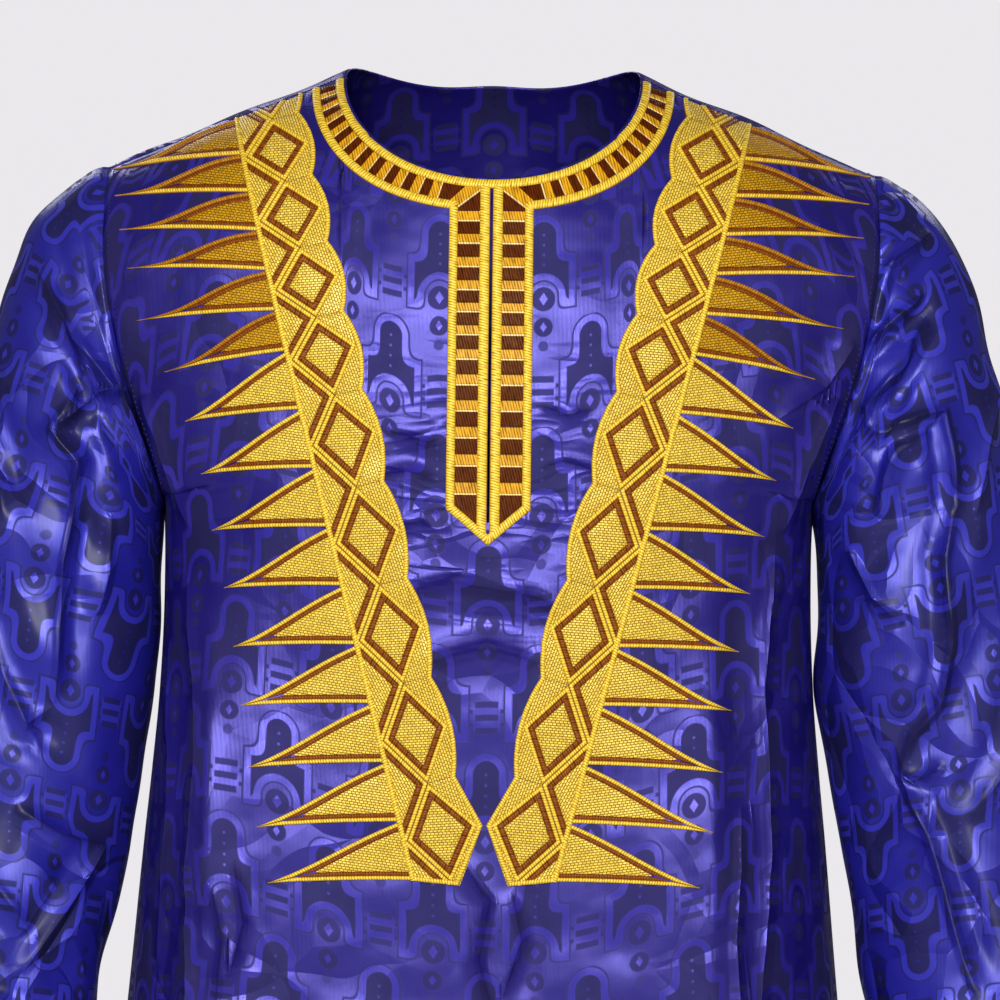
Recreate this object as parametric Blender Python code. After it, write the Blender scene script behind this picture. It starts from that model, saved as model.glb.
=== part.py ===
"""Dashiki shirt, worn and hollow: front, back, two set-in sleeves and the raised embroidery on the front.

Metres, +Z up, the front faces -Y. The origin is midway between the shoulders, at the height of the
points where the shoulder seams meet the neck.
"""
import math
from typing import NamedTuple

import bmesh
import bpy
from mathutils import Vector

# Driving dimensions
CLOTH = 0.0016
SEAM_GAP = 0.0003
SHOULDER_HALF = 0.2300
NECK_HALF = 0.0877
NECK_DROP = 0.0643
NECK_TOP = 0.0067
HEM_Z = -0.8400
UNDERARM_Z = -0.2445

# Shoulder ridge, a soft roof line that falls from the neck, and the seam just in front of it
RIDGE_TOP = 0.0515
RIDGE_SLOPE = 0.424
RIDGE_ROUND = 0.020
SEAM_TOP = 0.0407
SEAM_SLOPE = 0.388

# Radii over which the roof turns down into the chest and the back
TURN_SHOULDER = 0.115
TURN_CHEST = 0.260
TURN_BACK = 0.147
ARMHOLE_HALF_DEPTH = 0.066
BACK_NECK_TURN = math.radians(38.5)
DRAPE_END_Z = -0.420
UNDERARM_FALL = 0.4

# Prisms that cut the embroidery reach from in front of the chest to the shoulder line
CUTTER_HALF_DEPTH = 0.100

# The front was pressed flat between two folds, which show below the chest
PRESS_RIGHT = 0.159
PRESS_LEFT = 0.131
FLUTE_DEPTH = 0.006
FLUTES = 3.5

# How square the body is in plan, and how sharply its pressed front turns at the folds
PLAN_POWER = 2.3
ARMHOLE_POWER = 10
PRESS_POWER = 1.3
PRESS_ROUND = 0.6

# Embroidery, a stiff plate on the cloth. The neck border follows the neckline and widens at its corners.
EMBROIDERY = 0.0012
EDGE = 0.0012
BORDER_HALF = 0.1085
BORDER_DROP = 0.0842
BORDER_SQUARENESS = 2.3
CORNER_SHARE = 0.996
PLACKET_HALF = 0.0246
PLACKET_CORNER_Z = -0.2506
PLACKET_TIP_Z = -0.2713
SLIT_WIDTH = 0.0012
SLIT_END_Z = -0.2575

# A straight line runs down each band. Diamonds sit inside it, in scallops, and spikes stand outside it.
LINE_TOP = (0.1530, -0.0190)
LINE_FOOT = (0.0406, -0.4642)
LINE_HALF = 0.0018
SCALLOP_VALLEY = 0.0375
SCALLOP_CREST = 0.0428
BAND_START = (-0.0049, 0.0410)
BAND_POINT = (0.4376, 0.0463)
BAND_CORNER = (0.4688, 0.0253)
DIAMOND_STEPS = (0.0277, 0.0680, 0.1097, 0.1515, 0.2025, 0.2605, 0.3180, 0.3772, 0.4364)
SMALL_SPIKES = 6
SMALL_SPIKE_TOP_Z = -0.0205
SMALL_SPIKE_STEP = 0.0233
SPIKE_STEP = 0.0338


class Girth(NamedTuple):
    z: float
    half_width: float
    front_depth: float
    back_depth: float


BODY = (
    Girth(0.060, 0.2300, 0.128, 0.105),
    Girth(-0.046, 0.2300, 0.128, 0.105),
    Girth(-0.100, 0.2293, 0.129, 0.108),
    Girth(-0.140, 0.2235, 0.130, 0.110),
    Girth(-0.186, 0.2125, 0.130, 0.112),
    Girth(-0.216, 0.2030, 0.130, 0.112),
    Girth(-0.2445, 0.1965, 0.130, 0.111),
    Girth(-0.300, 0.1950, 0.129, 0.107),
    Girth(-0.360, 0.1972, 0.128, 0.105),
    Girth(-0.410, 0.2015, 0.127, 0.106),
    Girth(-0.450, 0.2055, 0.127, 0.110),
    Girth(-0.533, 0.2130, 0.127, 0.117),
    Girth(-0.700, 0.2290, 0.127, 0.123),
    Girth(-0.840, 0.2400, 0.128, 0.126),
)


class SleeveRing(NamedTuple):
    along: float
    outer_x: float
    outer_z: float
    inner_z: float
    clear: float
    half_depth: float
    centre_y: float


SLEEVE = (
    SleeveRing(0.00, 0.2300, -0.0464, -0.2445, 0.0000, 0.0660, 0.000),
    SleeveRing(0.10, 0.2540, -0.0570, -0.2620, 0.0020, 0.0680, 0.000),
    SleeveRing(0.20, 0.2730, -0.0765, -0.2850, 0.0024, 0.0695, 0.000),
    SleeveRing(0.30, 0.2880, -0.1090, -0.3150, 0.0026, 0.0700, -0.001),
    SleeveRing(0.40, 0.3035, -0.1600, -0.3480, 0.0028, 0.0695, -0.002),
    SleeveRing(0.50, 0.3200, -0.2250, -0.3850, 0.0034, 0.0685, -0.004),
    SleeveRing(0.60, 0.3350, -0.3050, -0.4280, 0.0060, 0.0665, -0.008),
    SleeveRing(0.70, 0.3460, -0.3900, -0.4780, 0.0108, 0.0640, -0.014),
    SleeveRing(0.80, 0.3520, -0.4800, -0.5330, 0.0150, 0.0610, -0.023),
    SleeveRing(0.90, 0.3530, -0.5650, -0.5870, 0.0180, 0.0580, -0.033),
    SleeveRing(1.00, 0.3500, -0.6480, -0.6400, 0.0205, 0.0545, -0.044),
)


class SleeveFold(NamedTuple):
    along: float
    around: float
    slant: float
    width: float
    span: float
    depth: float


# Around is in radians from the shoulder, forward; a positive depth is a trough
SLEEVE_FOLDS = (
    SleeveFold(0.22, 1.35, 0.10, 0.035, 0.70, 0.0030),
    SleeveFold(0.38, 1.70, -0.08, 0.035, 0.80, 0.0035),
    SleeveFold(0.50, 1.10, 0.07, 0.030, 0.60, -0.0030),
    SleeveFold(0.60, 1.75, 0.06, 0.032, 0.75, 0.0040),
    SleeveFold(0.72, 1.20, -0.06, 0.030, 0.70, 0.0035),
    SleeveFold(0.84, 1.60, 0.05, 0.030, 0.80, -0.0030),
    SleeveFold(0.35, 4.60, 0.06, 0.035, 0.80, 0.0030),
    SleeveFold(0.57, 4.40, -0.05, 0.032, 0.80, 0.0035),
    SleeveFold(0.76, 4.80, 0.05, 0.032, 0.80, 0.0030),
)


class Spike(NamedTuple):
    tip_x: float
    tip_z: float


SPIKES = (
    Spike(0.2262, -0.0492),
    Spike(0.2237, -0.0670),
    Spike(0.2194, -0.0880),
    Spike(0.2134, -0.1112),
    Spike(0.2071, -0.1419),
    Spike(0.1901, -0.1722),
    Spike(0.1770, -0.2010),
    Spike(0.1673, -0.2316),
    Spike(0.1606, -0.2644),
    Spike(0.1528, -0.2978),
    Spike(0.1466, -0.3317),
    Spike(0.1420, -0.3655),
    Spike(0.1368, -0.4007),
    Spike(0.1312, -0.4348),
    Spike(0.1243, -0.4668),
)

# The sleeve leaves the armhole's own curve over this share of its length, by this gap
ARMHOLE_FADE = 0.16
ARMHOLE_GAP = 0.00036

# Half of the columns across a panel, from the centre out, as shares of the half width
NECK_COLUMNS = 5
OUTER_COLUMNS = (0.48, 0.58, 0.67, 0.76, 0.85, 0.925, 0.975, 1.0)
TURN_ROWS = 6
ARMHOLE_ROWS = 4
SIDE_ROWS = 10
SLEEVE_ROWS = 18


def soft_step(start, end, value):
    share = min(1.0, max(0.0, (value - start) / (end - start)))
    return share * share * (3.0 - 2.0 * share)


def follow(table, key, name, value):
    """Reads one named column of a table at a key, with a smooth curve through its rows."""
    keys = [getattr(row, key) for row in table]
    values = [getattr(row, name) for row in table]
    if keys[0] > keys[-1]:
        keys.reverse()
        values.reverse()
    value = min(keys[-1], max(keys[0], value))
    index = 0
    while index < len(keys) - 2 and value > keys[index + 1]:
        index += 1

    def slope(at):
        low = max(0, at - 1)
        high = min(len(keys) - 1, at + 1)
        return (values[high] - values[low]) / (keys[high] - keys[low])

    span = keys[index + 1] - keys[index]
    share = (value - keys[index]) / span
    rise = values[index + 1] - values[index]
    start = slope(index) * span
    end = slope(index + 1) * span
    return (
        values[index]
        + start * share
        + (3.0 * rise - 2.0 * start - end) * share ** 2
        + (start + end - 2.0 * rise) * share ** 3
    )


def girth(z, name):
    return follow(BODY, "z", name, z)


def ridge_z(x):
    return RIDGE_TOP - RIDGE_SLOPE * math.hypot(x, RIDGE_ROUND)


def turn_radius(x, front):
    middle = TURN_CHEST if front else TURN_BACK
    return TURN_SHOULDER + (middle - TURN_SHOULDER) * (1.0 - soft_step(0.0, 0.2, abs(x)))


def turn_to(x, z):
    """The angle, forward of the ridge, at which the front reaches a height."""
    return math.acos(max(-1.0, 1.0 - (ridge_z(x) - z) / turn_radius(x, True)))


ARM_TOP_Z = ridge_z(SHOULDER_HALF)
UNDERARM_X = girth(UNDERARM_Z, "half_width")
ARM_CENTRE_Z = (ARM_TOP_Z + UNDERARM_Z) / 2.0
ARM_HALF_HEIGHT = (ARM_TOP_Z - UNDERARM_Z) / 2.0
TURN_END_Z = ARM_TOP_Z - TURN_SHOULDER
TURN_END_ROUND = math.acos((TURN_END_Z - ARM_CENTRE_Z) / ARM_HALF_HEIGHT)


def first_turn(x, front):
    """The angle at a panel's top edge: the shoulder seam, or the neckline inside it."""
    edge = min(abs(x), SHOULDER_HALF)
    if edge >= NECK_HALF - 1e-6:
        return turn_to(edge, SEAM_TOP - SEAM_SLOPE * edge)
    round_share = math.sqrt(max(0.0, 1.0 - (edge / NECK_HALF) ** 2))
    if front:
        return turn_to(edge, NECK_TOP - NECK_DROP * round_share)
    seam = turn_to(NECK_HALF, NECK_TOP)
    return seam - (seam + BACK_NECK_TURN) * round_share


def armhole_round(row):
    """How far round the armhole a row's end lies: 0 at the ridge, pi at the underarm."""
    if row <= 1.0:
        turn = first_turn(SHOULDER_HALF, True) * (1.0 - row) + math.pi / 2.0 * row
        z = ARM_TOP_Z - TURN_SHOULDER * (1.0 - math.cos(turn))
        return math.acos((z - ARM_CENTRE_Z) / ARM_HALF_HEIGHT)
    if row <= 2.0:
        return TURN_END_ROUND + (math.pi - TURN_END_ROUND) * (row - 1.0)
    return math.pi


def body_point(front, share, row):
    """A point of the body's outer face: share runs across, row from the top edge down.

    Rows 0 to 1 turn down from the shoulder, 1 to 2 run beside the armhole and 2 to 3 to the hem.
    """
    across = abs(share)
    facing = -1.0 if front else 1.0
    top_x = share * SHOULDER_HALF
    radius = turn_radius(top_x, front)
    turned_z = ridge_z(top_x) - radius
    under_z = UNDERARM_Z + UNDERARM_FALL * (turned_z - TURN_END_Z)
    round_angle = armhole_round(row)
    edge_z = ARM_CENTRE_Z + ARM_HALF_HEIGHT * math.cos(round_angle)
    if row <= 1.0:
        start = first_turn(top_x, front) * (1.0 if front else -1.0)
        turn = start + (math.pi / 2.0 - start) * row
        backward = turn < 0.0
        if backward:
            radius = turn_radius(top_x, not front)
        z = ridge_z(top_x) - radius * (1.0 - math.cos(turn))
        depth_share = math.sin(turn)
    elif row <= 2.0:
        fall = (TURN_END_Z - edge_z) / (TURN_END_Z - UNDERARM_Z)
        z = turned_z + (under_z - turned_z) * fall
        depth_share = 1.0
    else:
        z = under_z + (HEM_Z - under_z) * (row - 2.0)
        edge_z = UNDERARM_Z + (HEM_Z - UNDERARM_Z) * (row - 2.0)
        depth_share = 1.0
    depth_name = "front_depth" if front == (depth_share > 0.0) else "back_depth"
    half_width = girth(z, "half_width")
    centre = girth(z, depth_name) * depth_share
    edge = ARMHOLE_HALF_DEPTH * math.sin(round_angle) * max(-1.0, min(1.0, depth_share * 4.0))
    if row > 1.0:
        draped = ARMHOLE_HALF_DEPTH * (1.0 - soft_step(TURN_END_Z, DRAPE_END_Z, edge_z))
        edge = draped + (edge - draped) * across ** ARMHOLE_POWER

    roundness = 1.0 - 0.5 * soft_step(-0.15, UNDERARM_Z, edge_z)
    plump = (1.0 - across ** PLAN_POWER) ** roundness
    pressed = soft_step(-0.26, -0.46, edge_z)
    if front and pressed > 0.0:
        fold = (PRESS_RIGHT if share < 0.0 else PRESS_LEFT) / half_width
        past = max(0.0, (across - fold) / (1.0 - fold))
        plump += ((1.0 - past ** PRESS_POWER) ** PRESS_ROUND - plump) * pressed
    depth = edge + (centre - edge) * plump

    flute = FLUTE_DEPTH * soft_step(-0.42, HEM_Z, z) * (1.0 - across ** 6)
    if front:
        flute *= soft_step(0.35, 0.75, across)
    wave = math.cos(FLUTES * math.pi * share + 0.6)
    x = share * half_width
    return Vector((x, facing * (depth + flute * wave + SEAM_GAP / 2.0), z))


def body_normal(front, share, row):
    """The outward direction there; square to the side seam, so that the two rims lie parallel."""
    small = 1e-3
    side = 1.0 if share > 0.0 else -1.0
    inside = side * min(abs(share), 0.985)
    if row == 0.0 and abs(share) * SHOULDER_HALF >= NECK_HALF - 1e-6:
        front = True
    low = max(0.0, row - small)
    across = body_point(front, inside + small, row) - body_point(front, inside - small, row)
    down = body_point(front, inside, min(3.0, row + small)) - body_point(front, inside, low)
    normal = down.cross(across) if front else across.cross(down)
    normal.normalize()
    if abs(share) < 1.0:
        return normal
    square = soft_step(1.5, 2.0, row)
    return (normal * (1.0 - square) + Vector((side, 0.0, 0.0)) * square).normalized()


def side_ring():
    """The armhole's edge as (front, row) steps: up the front from the underarm, down the back."""
    rows = body_rows()
    edge = [row for row in rows if row <= 2.0]
    ring = [(True, row) for row in reversed(edge)]
    ring += [(False, row) for row in edge if 0.0 < row < 2.0]
    return ring


def body_rows():
    rows = [index / TURN_ROWS for index in range(TURN_ROWS + 1)]
    rows += [1.0 + index / ARMHOLE_ROWS for index in range(1, ARMHOLE_ROWS + 1)]
    rows += [2.0 + index / SIDE_ROWS for index in range(1, SIDE_ROWS + 1)]
    return rows


def body_columns():
    neck = NECK_HALF / SHOULDER_HALF
    half = [neck * math.sin(math.pi / 2.0 * step / NECK_COLUMNS) for step in range(NECK_COLUMNS + 1)]
    half += OUTER_COLUMNS
    return [-share for share in reversed(half[1:])] + half


def sleeve_point(side, along, front, row):
    """A point of the sleeve's outer face, on the ring that leaves the armhole at this row."""
    round_angle = armhole_round(row)
    inner_z = follow(SLEEVE, "along", "inner_z", along)
    inner_x = girth(inner_z, "half_width") + follow(SLEEVE, "along", "clear", along)
    outer_x = follow(SLEEVE, "along", "outer_x", along)
    outer_z = follow(SLEEVE, "along", "outer_z", along)
    upper = (1.0 + math.cos(round_angle)) / 2.0
    x = inner_x + (outer_x - inner_x) * upper
    z = inner_z + (outer_z - inner_z) * upper
    facing = -1.0 if front else 1.0
    depth = follow(SLEEVE, "along", "half_depth", along) * math.sin(round_angle)
    y = follow(SLEEVE, "along", "centre_y", along) + facing * depth
    edge = body_point(front, 1.0, min(2.0, row))
    start = Vector((
        UNDERARM_X + (SHOULDER_HALF - UNDERARM_X) * upper,
        facing * ARMHOLE_HALF_DEPTH * math.sin(round_angle),
        UNDERARM_Z + (ARM_TOP_Z - UNDERARM_Z) * upper,
    ))
    fade = 1.0 - soft_step(0.0, ARMHOLE_FADE, along)
    point = Vector((x, y, z)) + (edge - start) * fade
    turn = round_angle if front else 2.0 * math.pi - round_angle
    centre = Vector(((inner_x + outer_x) / 2.0, follow(SLEEVE, "along", "centre_y", along),
                     (inner_z + outer_z) / 2.0))
    outward = (point - centre).normalized()
    for fold in SLEEVE_FOLDS:
        off = (turn - fold.around + math.pi) % (2.0 * math.pi) - math.pi
        place = (along - fold.along - fold.slant * off) / fold.width
        reach = math.exp(-(place ** 2) - (off / fold.span) ** 2)
        point -= outward * fold.depth * reach * soft_step(0.02, 0.14, along)
    return Vector((side * point.x, point.y, point.z))


def sheet(columns, rows):
    """A flat grid whose points remember their column and row."""
    mesh = bmesh.new()
    bmesh.ops.create_grid(mesh, x_segments=columns - 1, y_segments=rows - 1, size=1.0)
    column_layer = mesh.verts.layers.int.new("column")
    row_layer = mesh.verts.layers.int.new("row")
    for vert in mesh.verts:
        vert[column_layer] = round((vert.co.x + 1.0) / 2.0 * (columns - 1))
        vert[row_layer] = round((vert.co.y + 1.0) / 2.0 * (rows - 1))
    return mesh, column_layer, row_layer


def thicken(mesh, column_layer, row_layer, outer, inner, lift=0.0):
    """Moves a flat grid to its outer face, and closes it with an inner face and rims.

    A lift sets the two faces that far out from the cloth and from each other, for what lies on it.
    """
    for vert in mesh.verts:
        vert.co = outer[vert[column_layer], vert[row_layer]]
    bmesh.ops.remove_doubles(mesh, verts=mesh.verts[:], dist=1e-6)
    bmesh.ops.triangulate(mesh, faces=mesh.faces[:], quad_method="SHORT_EDGE")
    face_verts = mesh.verts[:]
    grown = bmesh.ops.extrude_face_region(mesh, geom=mesh.faces[:], use_keep_orig=True)
    back_verts = [item for item in grown["geom"] if isinstance(item, bmesh.types.BMVert)]
    for vert in back_verts:
        vert.co = inner[vert[column_layer], vert[row_layer]]
    if lift > 0.0:
        for vert in face_verts + back_verts:
            key = (vert[column_layer], vert[row_layer])
            out = (outer[key] - inner[key]).normalized()
            vert.co = outer[key] + out * SEAM_GAP
        for vert in face_verts:
            key = (vert[column_layer], vert[row_layer])
            vert.co += (outer[key] - inner[key]).normalized() * lift
    bmesh.ops.recalc_face_normals(mesh, faces=mesh.faces[:])


def place(mesh, name, colour, roughness):
    """Makes a bmesh the object of one sub-part, with its own material."""
    data = bpy.data.meshes.new(name)
    mesh.to_mesh(data)
    mesh.free()
    made = bpy.data.objects.new(name, data)
    garment.objects.link(made)
    material = bpy.data.materials.new(name)
    material.use_nodes = True
    shader = material.node_tree.nodes["Principled BSDF"]
    shader.inputs["Base Color"].default_value = (*colour, 1.0)
    shader.inputs["Roughness"].default_value = roughness
    data.materials.append(material)
    return made


def panel_faces(front, columns, rows):
    """The outer and inner points of a body panel, by column and row."""
    outer = {}
    inner = {}
    for column, share in enumerate(columns):
        for line, row in enumerate(rows):
            point = body_point(front, share, row)
            outer[column, line] = point
            inner[column, line] = point - body_normal(front, share, row) * CLOTH
            if abs(share) == 1.0 and row >= 2.0:
                inner[column, line].y = point.y
    return outer, inner


def body_panel(name, front, colour):
    columns = body_columns()
    rows = body_rows()
    outer, inner = panel_faces(front, columns, rows)
    mesh, column_layer, row_layer = sheet(len(columns), len(rows))
    thicken(mesh, column_layer, row_layer, outer, inner)
    return place(mesh, name, colour, 0.35)


def cut(target, cutter, operation):
    modifier = target.modifiers.new(cutter.name, "BOOLEAN")
    modifier.operation = operation
    modifier.solver = "EXACT"
    modifier.object = cutter


def outline_cutter(name, outline):
    """A flat outline in x and z, made a prism that runs from the front back to the shoulder line."""
    curve = bpy.data.curves.new(name, "CURVE")
    curve.dimensions = "2D"
    curve.fill_mode = "BOTH"
    curve.extrude = CUTTER_HALF_DEPTH
    spline = curve.splines.new("POLY")
    spline.points.add(len(outline) - 1)
    for point, (x, z) in zip(spline.points, outline):
        point.co = (x, z, 0.0, 1.0)
    spline.use_cyclic_u = True
    guide = bpy.data.objects.new(name + "_outline", curve)
    cutters.objects.link(guide)
    guide.location = (0.0, -CUTTER_HALF_DEPTH, 0.0)
    guide.rotation_euler = (math.pi / 2.0, 0.0, 0.0)
    bpy.context.view_layer.update()
    evaluated = guide.evaluated_get(bpy.context.evaluated_depsgraph_get())
    prism = bmesh.new()
    prism.from_mesh(evaluated.to_mesh())
    bmesh.ops.remove_doubles(prism, verts=prism.verts[:], dist=1e-6)
    bmesh.ops.transform(prism, matrix=guide.matrix_world, verts=prism.verts[:])
    bmesh.ops.recalc_face_normals(prism, faces=prism.faces[:])
    data = bpy.data.meshes.new(name)
    prism.to_mesh(data)
    prism.free()
    bpy.data.objects.remove(guide, do_unlink=True)
    cutter = bpy.data.objects.new(name, data)
    cutters.objects.link(cutter)
    cutter.hide_render = True
    cutter.display_type = "WIRE"
    return cutter


def embroidery(name, outline, colour):
    """A plate on the front panel: the panel's own points moved out, cut to the outline."""
    low_x = min(x for x, z in outline)
    high_x = max(x for x, z in outline)
    low_z = min(z for x, z in outline)
    columns = body_columns()
    rows = body_rows()
    outer, inner = panel_faces(True, columns, rows)
    mesh, column_layer, row_layer = sheet(len(columns), len(rows))
    spare = []
    for face in mesh.faces:
        corners = [outer[vert[column_layer], vert[row_layer]] for vert in face.verts]
        if (max(c.x for c in corners) < low_x or min(c.x for c in corners) > high_x
                or max(c.z for c in corners) < low_z):
            spare.append(face)
    bmesh.ops.delete(mesh, geom=spare, context="FACES")
    thicken(mesh, column_layer, row_layer, outer, inner, lift=EMBROIDERY)
    made = place(mesh, name, colour, 0.45)
    cut(made, outline_cutter(name + "_outline", outline), "INTERSECT")
    return made


def seam_edge_z(x):
    """Just below the shoulder seam, where the embroidery stops."""
    return SEAM_TOP - SEAM_SLOPE * abs(x) - EDGE


def arc_outline(half, drop, squareness, start_x, end_x, steps):
    """Points of a rounded drop below the neck's corners, between two places across it."""
    start = math.acos(start_x / half)
    end = math.acos(end_x / half)
    points = []
    for step in range(steps + 1):
        x = half * math.cos(start + (end - start) * step / steps)
        fall = (1.0 - abs(x / half) ** squareness) ** (1.0 / squareness)
        points.append((x, NECK_TOP - drop * fall))
    return points


def neck_outline():
    inner_half = NECK_HALF + EDGE
    inner_drop = NECK_DROP + EDGE
    corner_x = inner_half * CORNER_SHARE
    start_x = BORDER_HALF * CORNER_SHARE
    outer = arc_outline(BORDER_HALF, BORDER_DROP, BORDER_SQUARENESS, start_x, PLACKET_HALF, 10)
    half = [(corner_x, seam_edge_z(corner_x)), (outer[0][0], seam_edge_z(outer[0][0]))]
    half += [(x, min(z, seam_edge_z(x))) for x, z in outer[1:]]
    half.append((PLACKET_HALF, PLACKET_CORNER_Z))
    outline = half + [(0.0, PLACKET_TIP_Z)] + [(-x, z) for x, z in reversed(half)]
    slit_edge = SLIT_WIDTH / 2.0
    left = arc_outline(inner_half, inner_drop, 2.0, slit_edge, corner_x, 10)
    left = [(slit_edge, SLIT_END_Z)] + [(x, min(z, seam_edge_z(x))) for x, z in left[:-1]]
    return outline + [(-x, z) for x, z in reversed(left)] + left


def band_point(side, along, inward):
    """A place on a band: along its straight line from the shoulder, and inward from it."""
    run = math.hypot(LINE_FOOT[0] - LINE_TOP[0], LINE_FOOT[1] - LINE_TOP[1])
    down_x = (LINE_FOOT[0] - LINE_TOP[0]) / run
    down_z = (LINE_FOOT[1] - LINE_TOP[1]) / run
    x = LINE_TOP[0] + down_x * along + down_z * inward
    z = LINE_TOP[1] + down_z * along - down_x * inward
    return side * x, min(z, seam_edge_z(x))


def line_place(side, z):
    """A place on the outer edge of a band's line, at a height."""
    share = (z - LINE_TOP[1]) / (LINE_FOOT[1] - LINE_TOP[1])
    x = LINE_TOP[0] + (LINE_FOOT[0] - LINE_TOP[0]) * share + LINE_HALF
    return side * x, z


def spike_base_z(index):
    if index <= SMALL_SPIKES:
        return SMALL_SPIKE_TOP_Z - SMALL_SPIKE_STEP * index
    return SMALL_SPIKE_TOP_Z - SMALL_SPIKE_STEP * SMALL_SPIKES - SPIKE_STEP * (index - SMALL_SPIKES)


def band_outline(side):
    outline = []
    for index, spike in enumerate(SPIKES):
        outline.append(line_place(side, spike_base_z(index)))
        outline.append((side * spike.tip_x, spike.tip_z))
    outline.append(line_place(side, spike_base_z(len(SPIKES))))
    outline.append(band_point(side, *BAND_CORNER))
    outline.append(band_point(side, *BAND_POINT))
    valleys = [(low + high) / 2.0 for low, high in zip(DIAMOND_STEPS, DIAMOND_STEPS[1:])]
    stops = [2.0 * DIAMOND_STEPS[0] - valleys[0] + EDGE] + valleys
    for index in range(len(valleys), 0, -1):
        outline.append(band_point(side, valleys[index - 1], SCALLOP_VALLEY))
        for share in (0.75, 0.5, 0.25):
            along = stops[index - 1] + (valleys[index - 1] - stops[index - 1]) * share
            swell = SCALLOP_CREST - (SCALLOP_CREST - SCALLOP_VALLEY) * (2.0 * share - 1.0) ** 2
            outline.append(band_point(side, along, swell))
    outline.append(band_point(side, stops[0], SCALLOP_VALLEY))
    outline.append(band_point(side, *BAND_START))
    return outline


def sleeve(name, side, colour):
    ring = side_ring()
    count = len(ring)
    stations = [index / SLEEVE_ROWS for index in range(SLEEVE_ROWS + 1)]
    outer = {}
    for column, (front, row) in enumerate(ring):
        for line, along in enumerate(stations):
            outer[column, line] = sleeve_point(side, along, front, row)
    inner = {}
    for column, (front, row) in enumerate(ring):
        for line in range(len(stations)):
            around = outer[(column + 1) % count, line] - outer[(column - 1) % count, line]
            ahead = outer[column, min(line + 1, SLEEVE_ROWS)] - outer[column, max(line - 1, 0)]
            normal = around.cross(ahead).normalized() * -side
            if line == 0:
                panel_normal = body_normal(front, float(side), row)
                away = around.cross(panel_normal).normalized() * side
                hinge = soft_step(1.0, 2.0, row)
                normal = (panel_normal * (1.0 - hinge) + normal * hinge).normalized()
                if row == 2.0:
                    away = Vector((side, 0.0, 0.0))
                    normal = Vector((-side, 0.0, 0.0))
                outer[column, 0] = outer[column, 0] + away * ARMHOLE_GAP
            inner[column, line] = outer[column, line] - normal * CLOTH
    for line in range(len(stations)):
        outer[count, line] = outer[0, line]
        inner[count, line] = inner[0, line]
    mesh, column_layer, row_layer = sheet(count + 1, len(stations))
    thicken(mesh, column_layer, row_layer, outer, inner)
    return place(mesh, name, colour, 0.3)


for old in list(bpy.data.objects):
    bpy.data.objects.remove(old, do_unlink=True)
garment = bpy.data.collections.new("dashiki_shirt")
cutters = bpy.data.collections.new("cutters")
bpy.context.scene.collection.children.link(garment)
bpy.context.scene.collection.children.link(cutters)

BLUE = (0.05, 0.045, 0.42)
GOLD = (0.75, 0.45, 0.05)
front_panel = body_panel("front_panel", True, BLUE)
body_panel("back_panel", False, BLUE)
sleeve("sleeve_right", -1, BLUE)
sleeve("sleeve_left", 1, BLUE)
embroidery("neck_placket_embroidery", neck_outline(), GOLD)
embroidery("embroidery_right", band_outline(-1), GOLD)
embroidery("embroidery_left", band_outline(1), GOLD)

# The slit that lets the head through, down the middle of the placket border
slit = outline_cutter("neck_slit", (
    (-SLIT_WIDTH / 2.0, 0.0),
    (SLIT_WIDTH / 2.0, 0.0),
    (SLIT_WIDTH / 2.0, SLIT_END_Z),
    (-SLIT_WIDTH / 2.0, SLIT_END_Z),
))
cut(front_panel, slit, "DIFFERENCE")
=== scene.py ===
import contextlib
import math

import bmesh
import bpy
import numpy as np
from mathutils import Matrix, Vector
from mathutils.bvhtree import BVHTree


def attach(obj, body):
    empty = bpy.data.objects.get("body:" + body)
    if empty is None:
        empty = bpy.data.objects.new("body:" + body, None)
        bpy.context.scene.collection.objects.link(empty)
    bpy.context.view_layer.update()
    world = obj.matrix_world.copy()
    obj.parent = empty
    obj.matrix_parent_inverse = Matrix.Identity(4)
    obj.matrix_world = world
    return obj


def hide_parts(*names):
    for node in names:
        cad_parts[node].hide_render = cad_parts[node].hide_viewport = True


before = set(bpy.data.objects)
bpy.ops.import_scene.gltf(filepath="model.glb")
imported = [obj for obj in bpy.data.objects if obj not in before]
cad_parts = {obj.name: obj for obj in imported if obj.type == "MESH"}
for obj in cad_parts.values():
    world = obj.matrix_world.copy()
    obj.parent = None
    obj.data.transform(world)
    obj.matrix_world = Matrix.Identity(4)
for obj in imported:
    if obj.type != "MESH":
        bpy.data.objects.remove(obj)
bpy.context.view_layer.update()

# Front panel. Polished cotton damask, cut in one piece from the shoulder seams to the hem, with a
# round neck and a slit below it. It is worn, so it is a thin curved sheet over nothing, pressed flat
# between two folds below the chest and creased like stiff paper.
SHOULDER_HALF = 0.2300
NECK_HALF = 0.0877
NECK_DROP = 0.0643
NECK_TOP = 0.0067
HEM_Z = -0.8400
UNDERARM_Z = -0.2445
RIDGE_TOP = 0.0515
RIDGE_SLOPE = 0.424
RIDGE_ROUND = 0.020
SEAM_TOP = 0.0407
SEAM_SLOPE = 0.388
TURN_SHOULDER = 0.115
TURN_CHEST = 0.260
TURN_BACK = 0.147
ARMHOLE_HALF_DEPTH = 0.066
BACK_NECK_TURN = math.radians(38.5)
DRAPE_END_Z = -0.420
PRESS_RIGHT = 0.159
PRESS_LEFT = 0.131
FLUTE_DEPTH = 0.006
FLUTES = 3.5
FACE_CLOTH = 0.0009
SLIT_HALF = 0.0006
SLIT_END_Z = -0.2575

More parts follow.
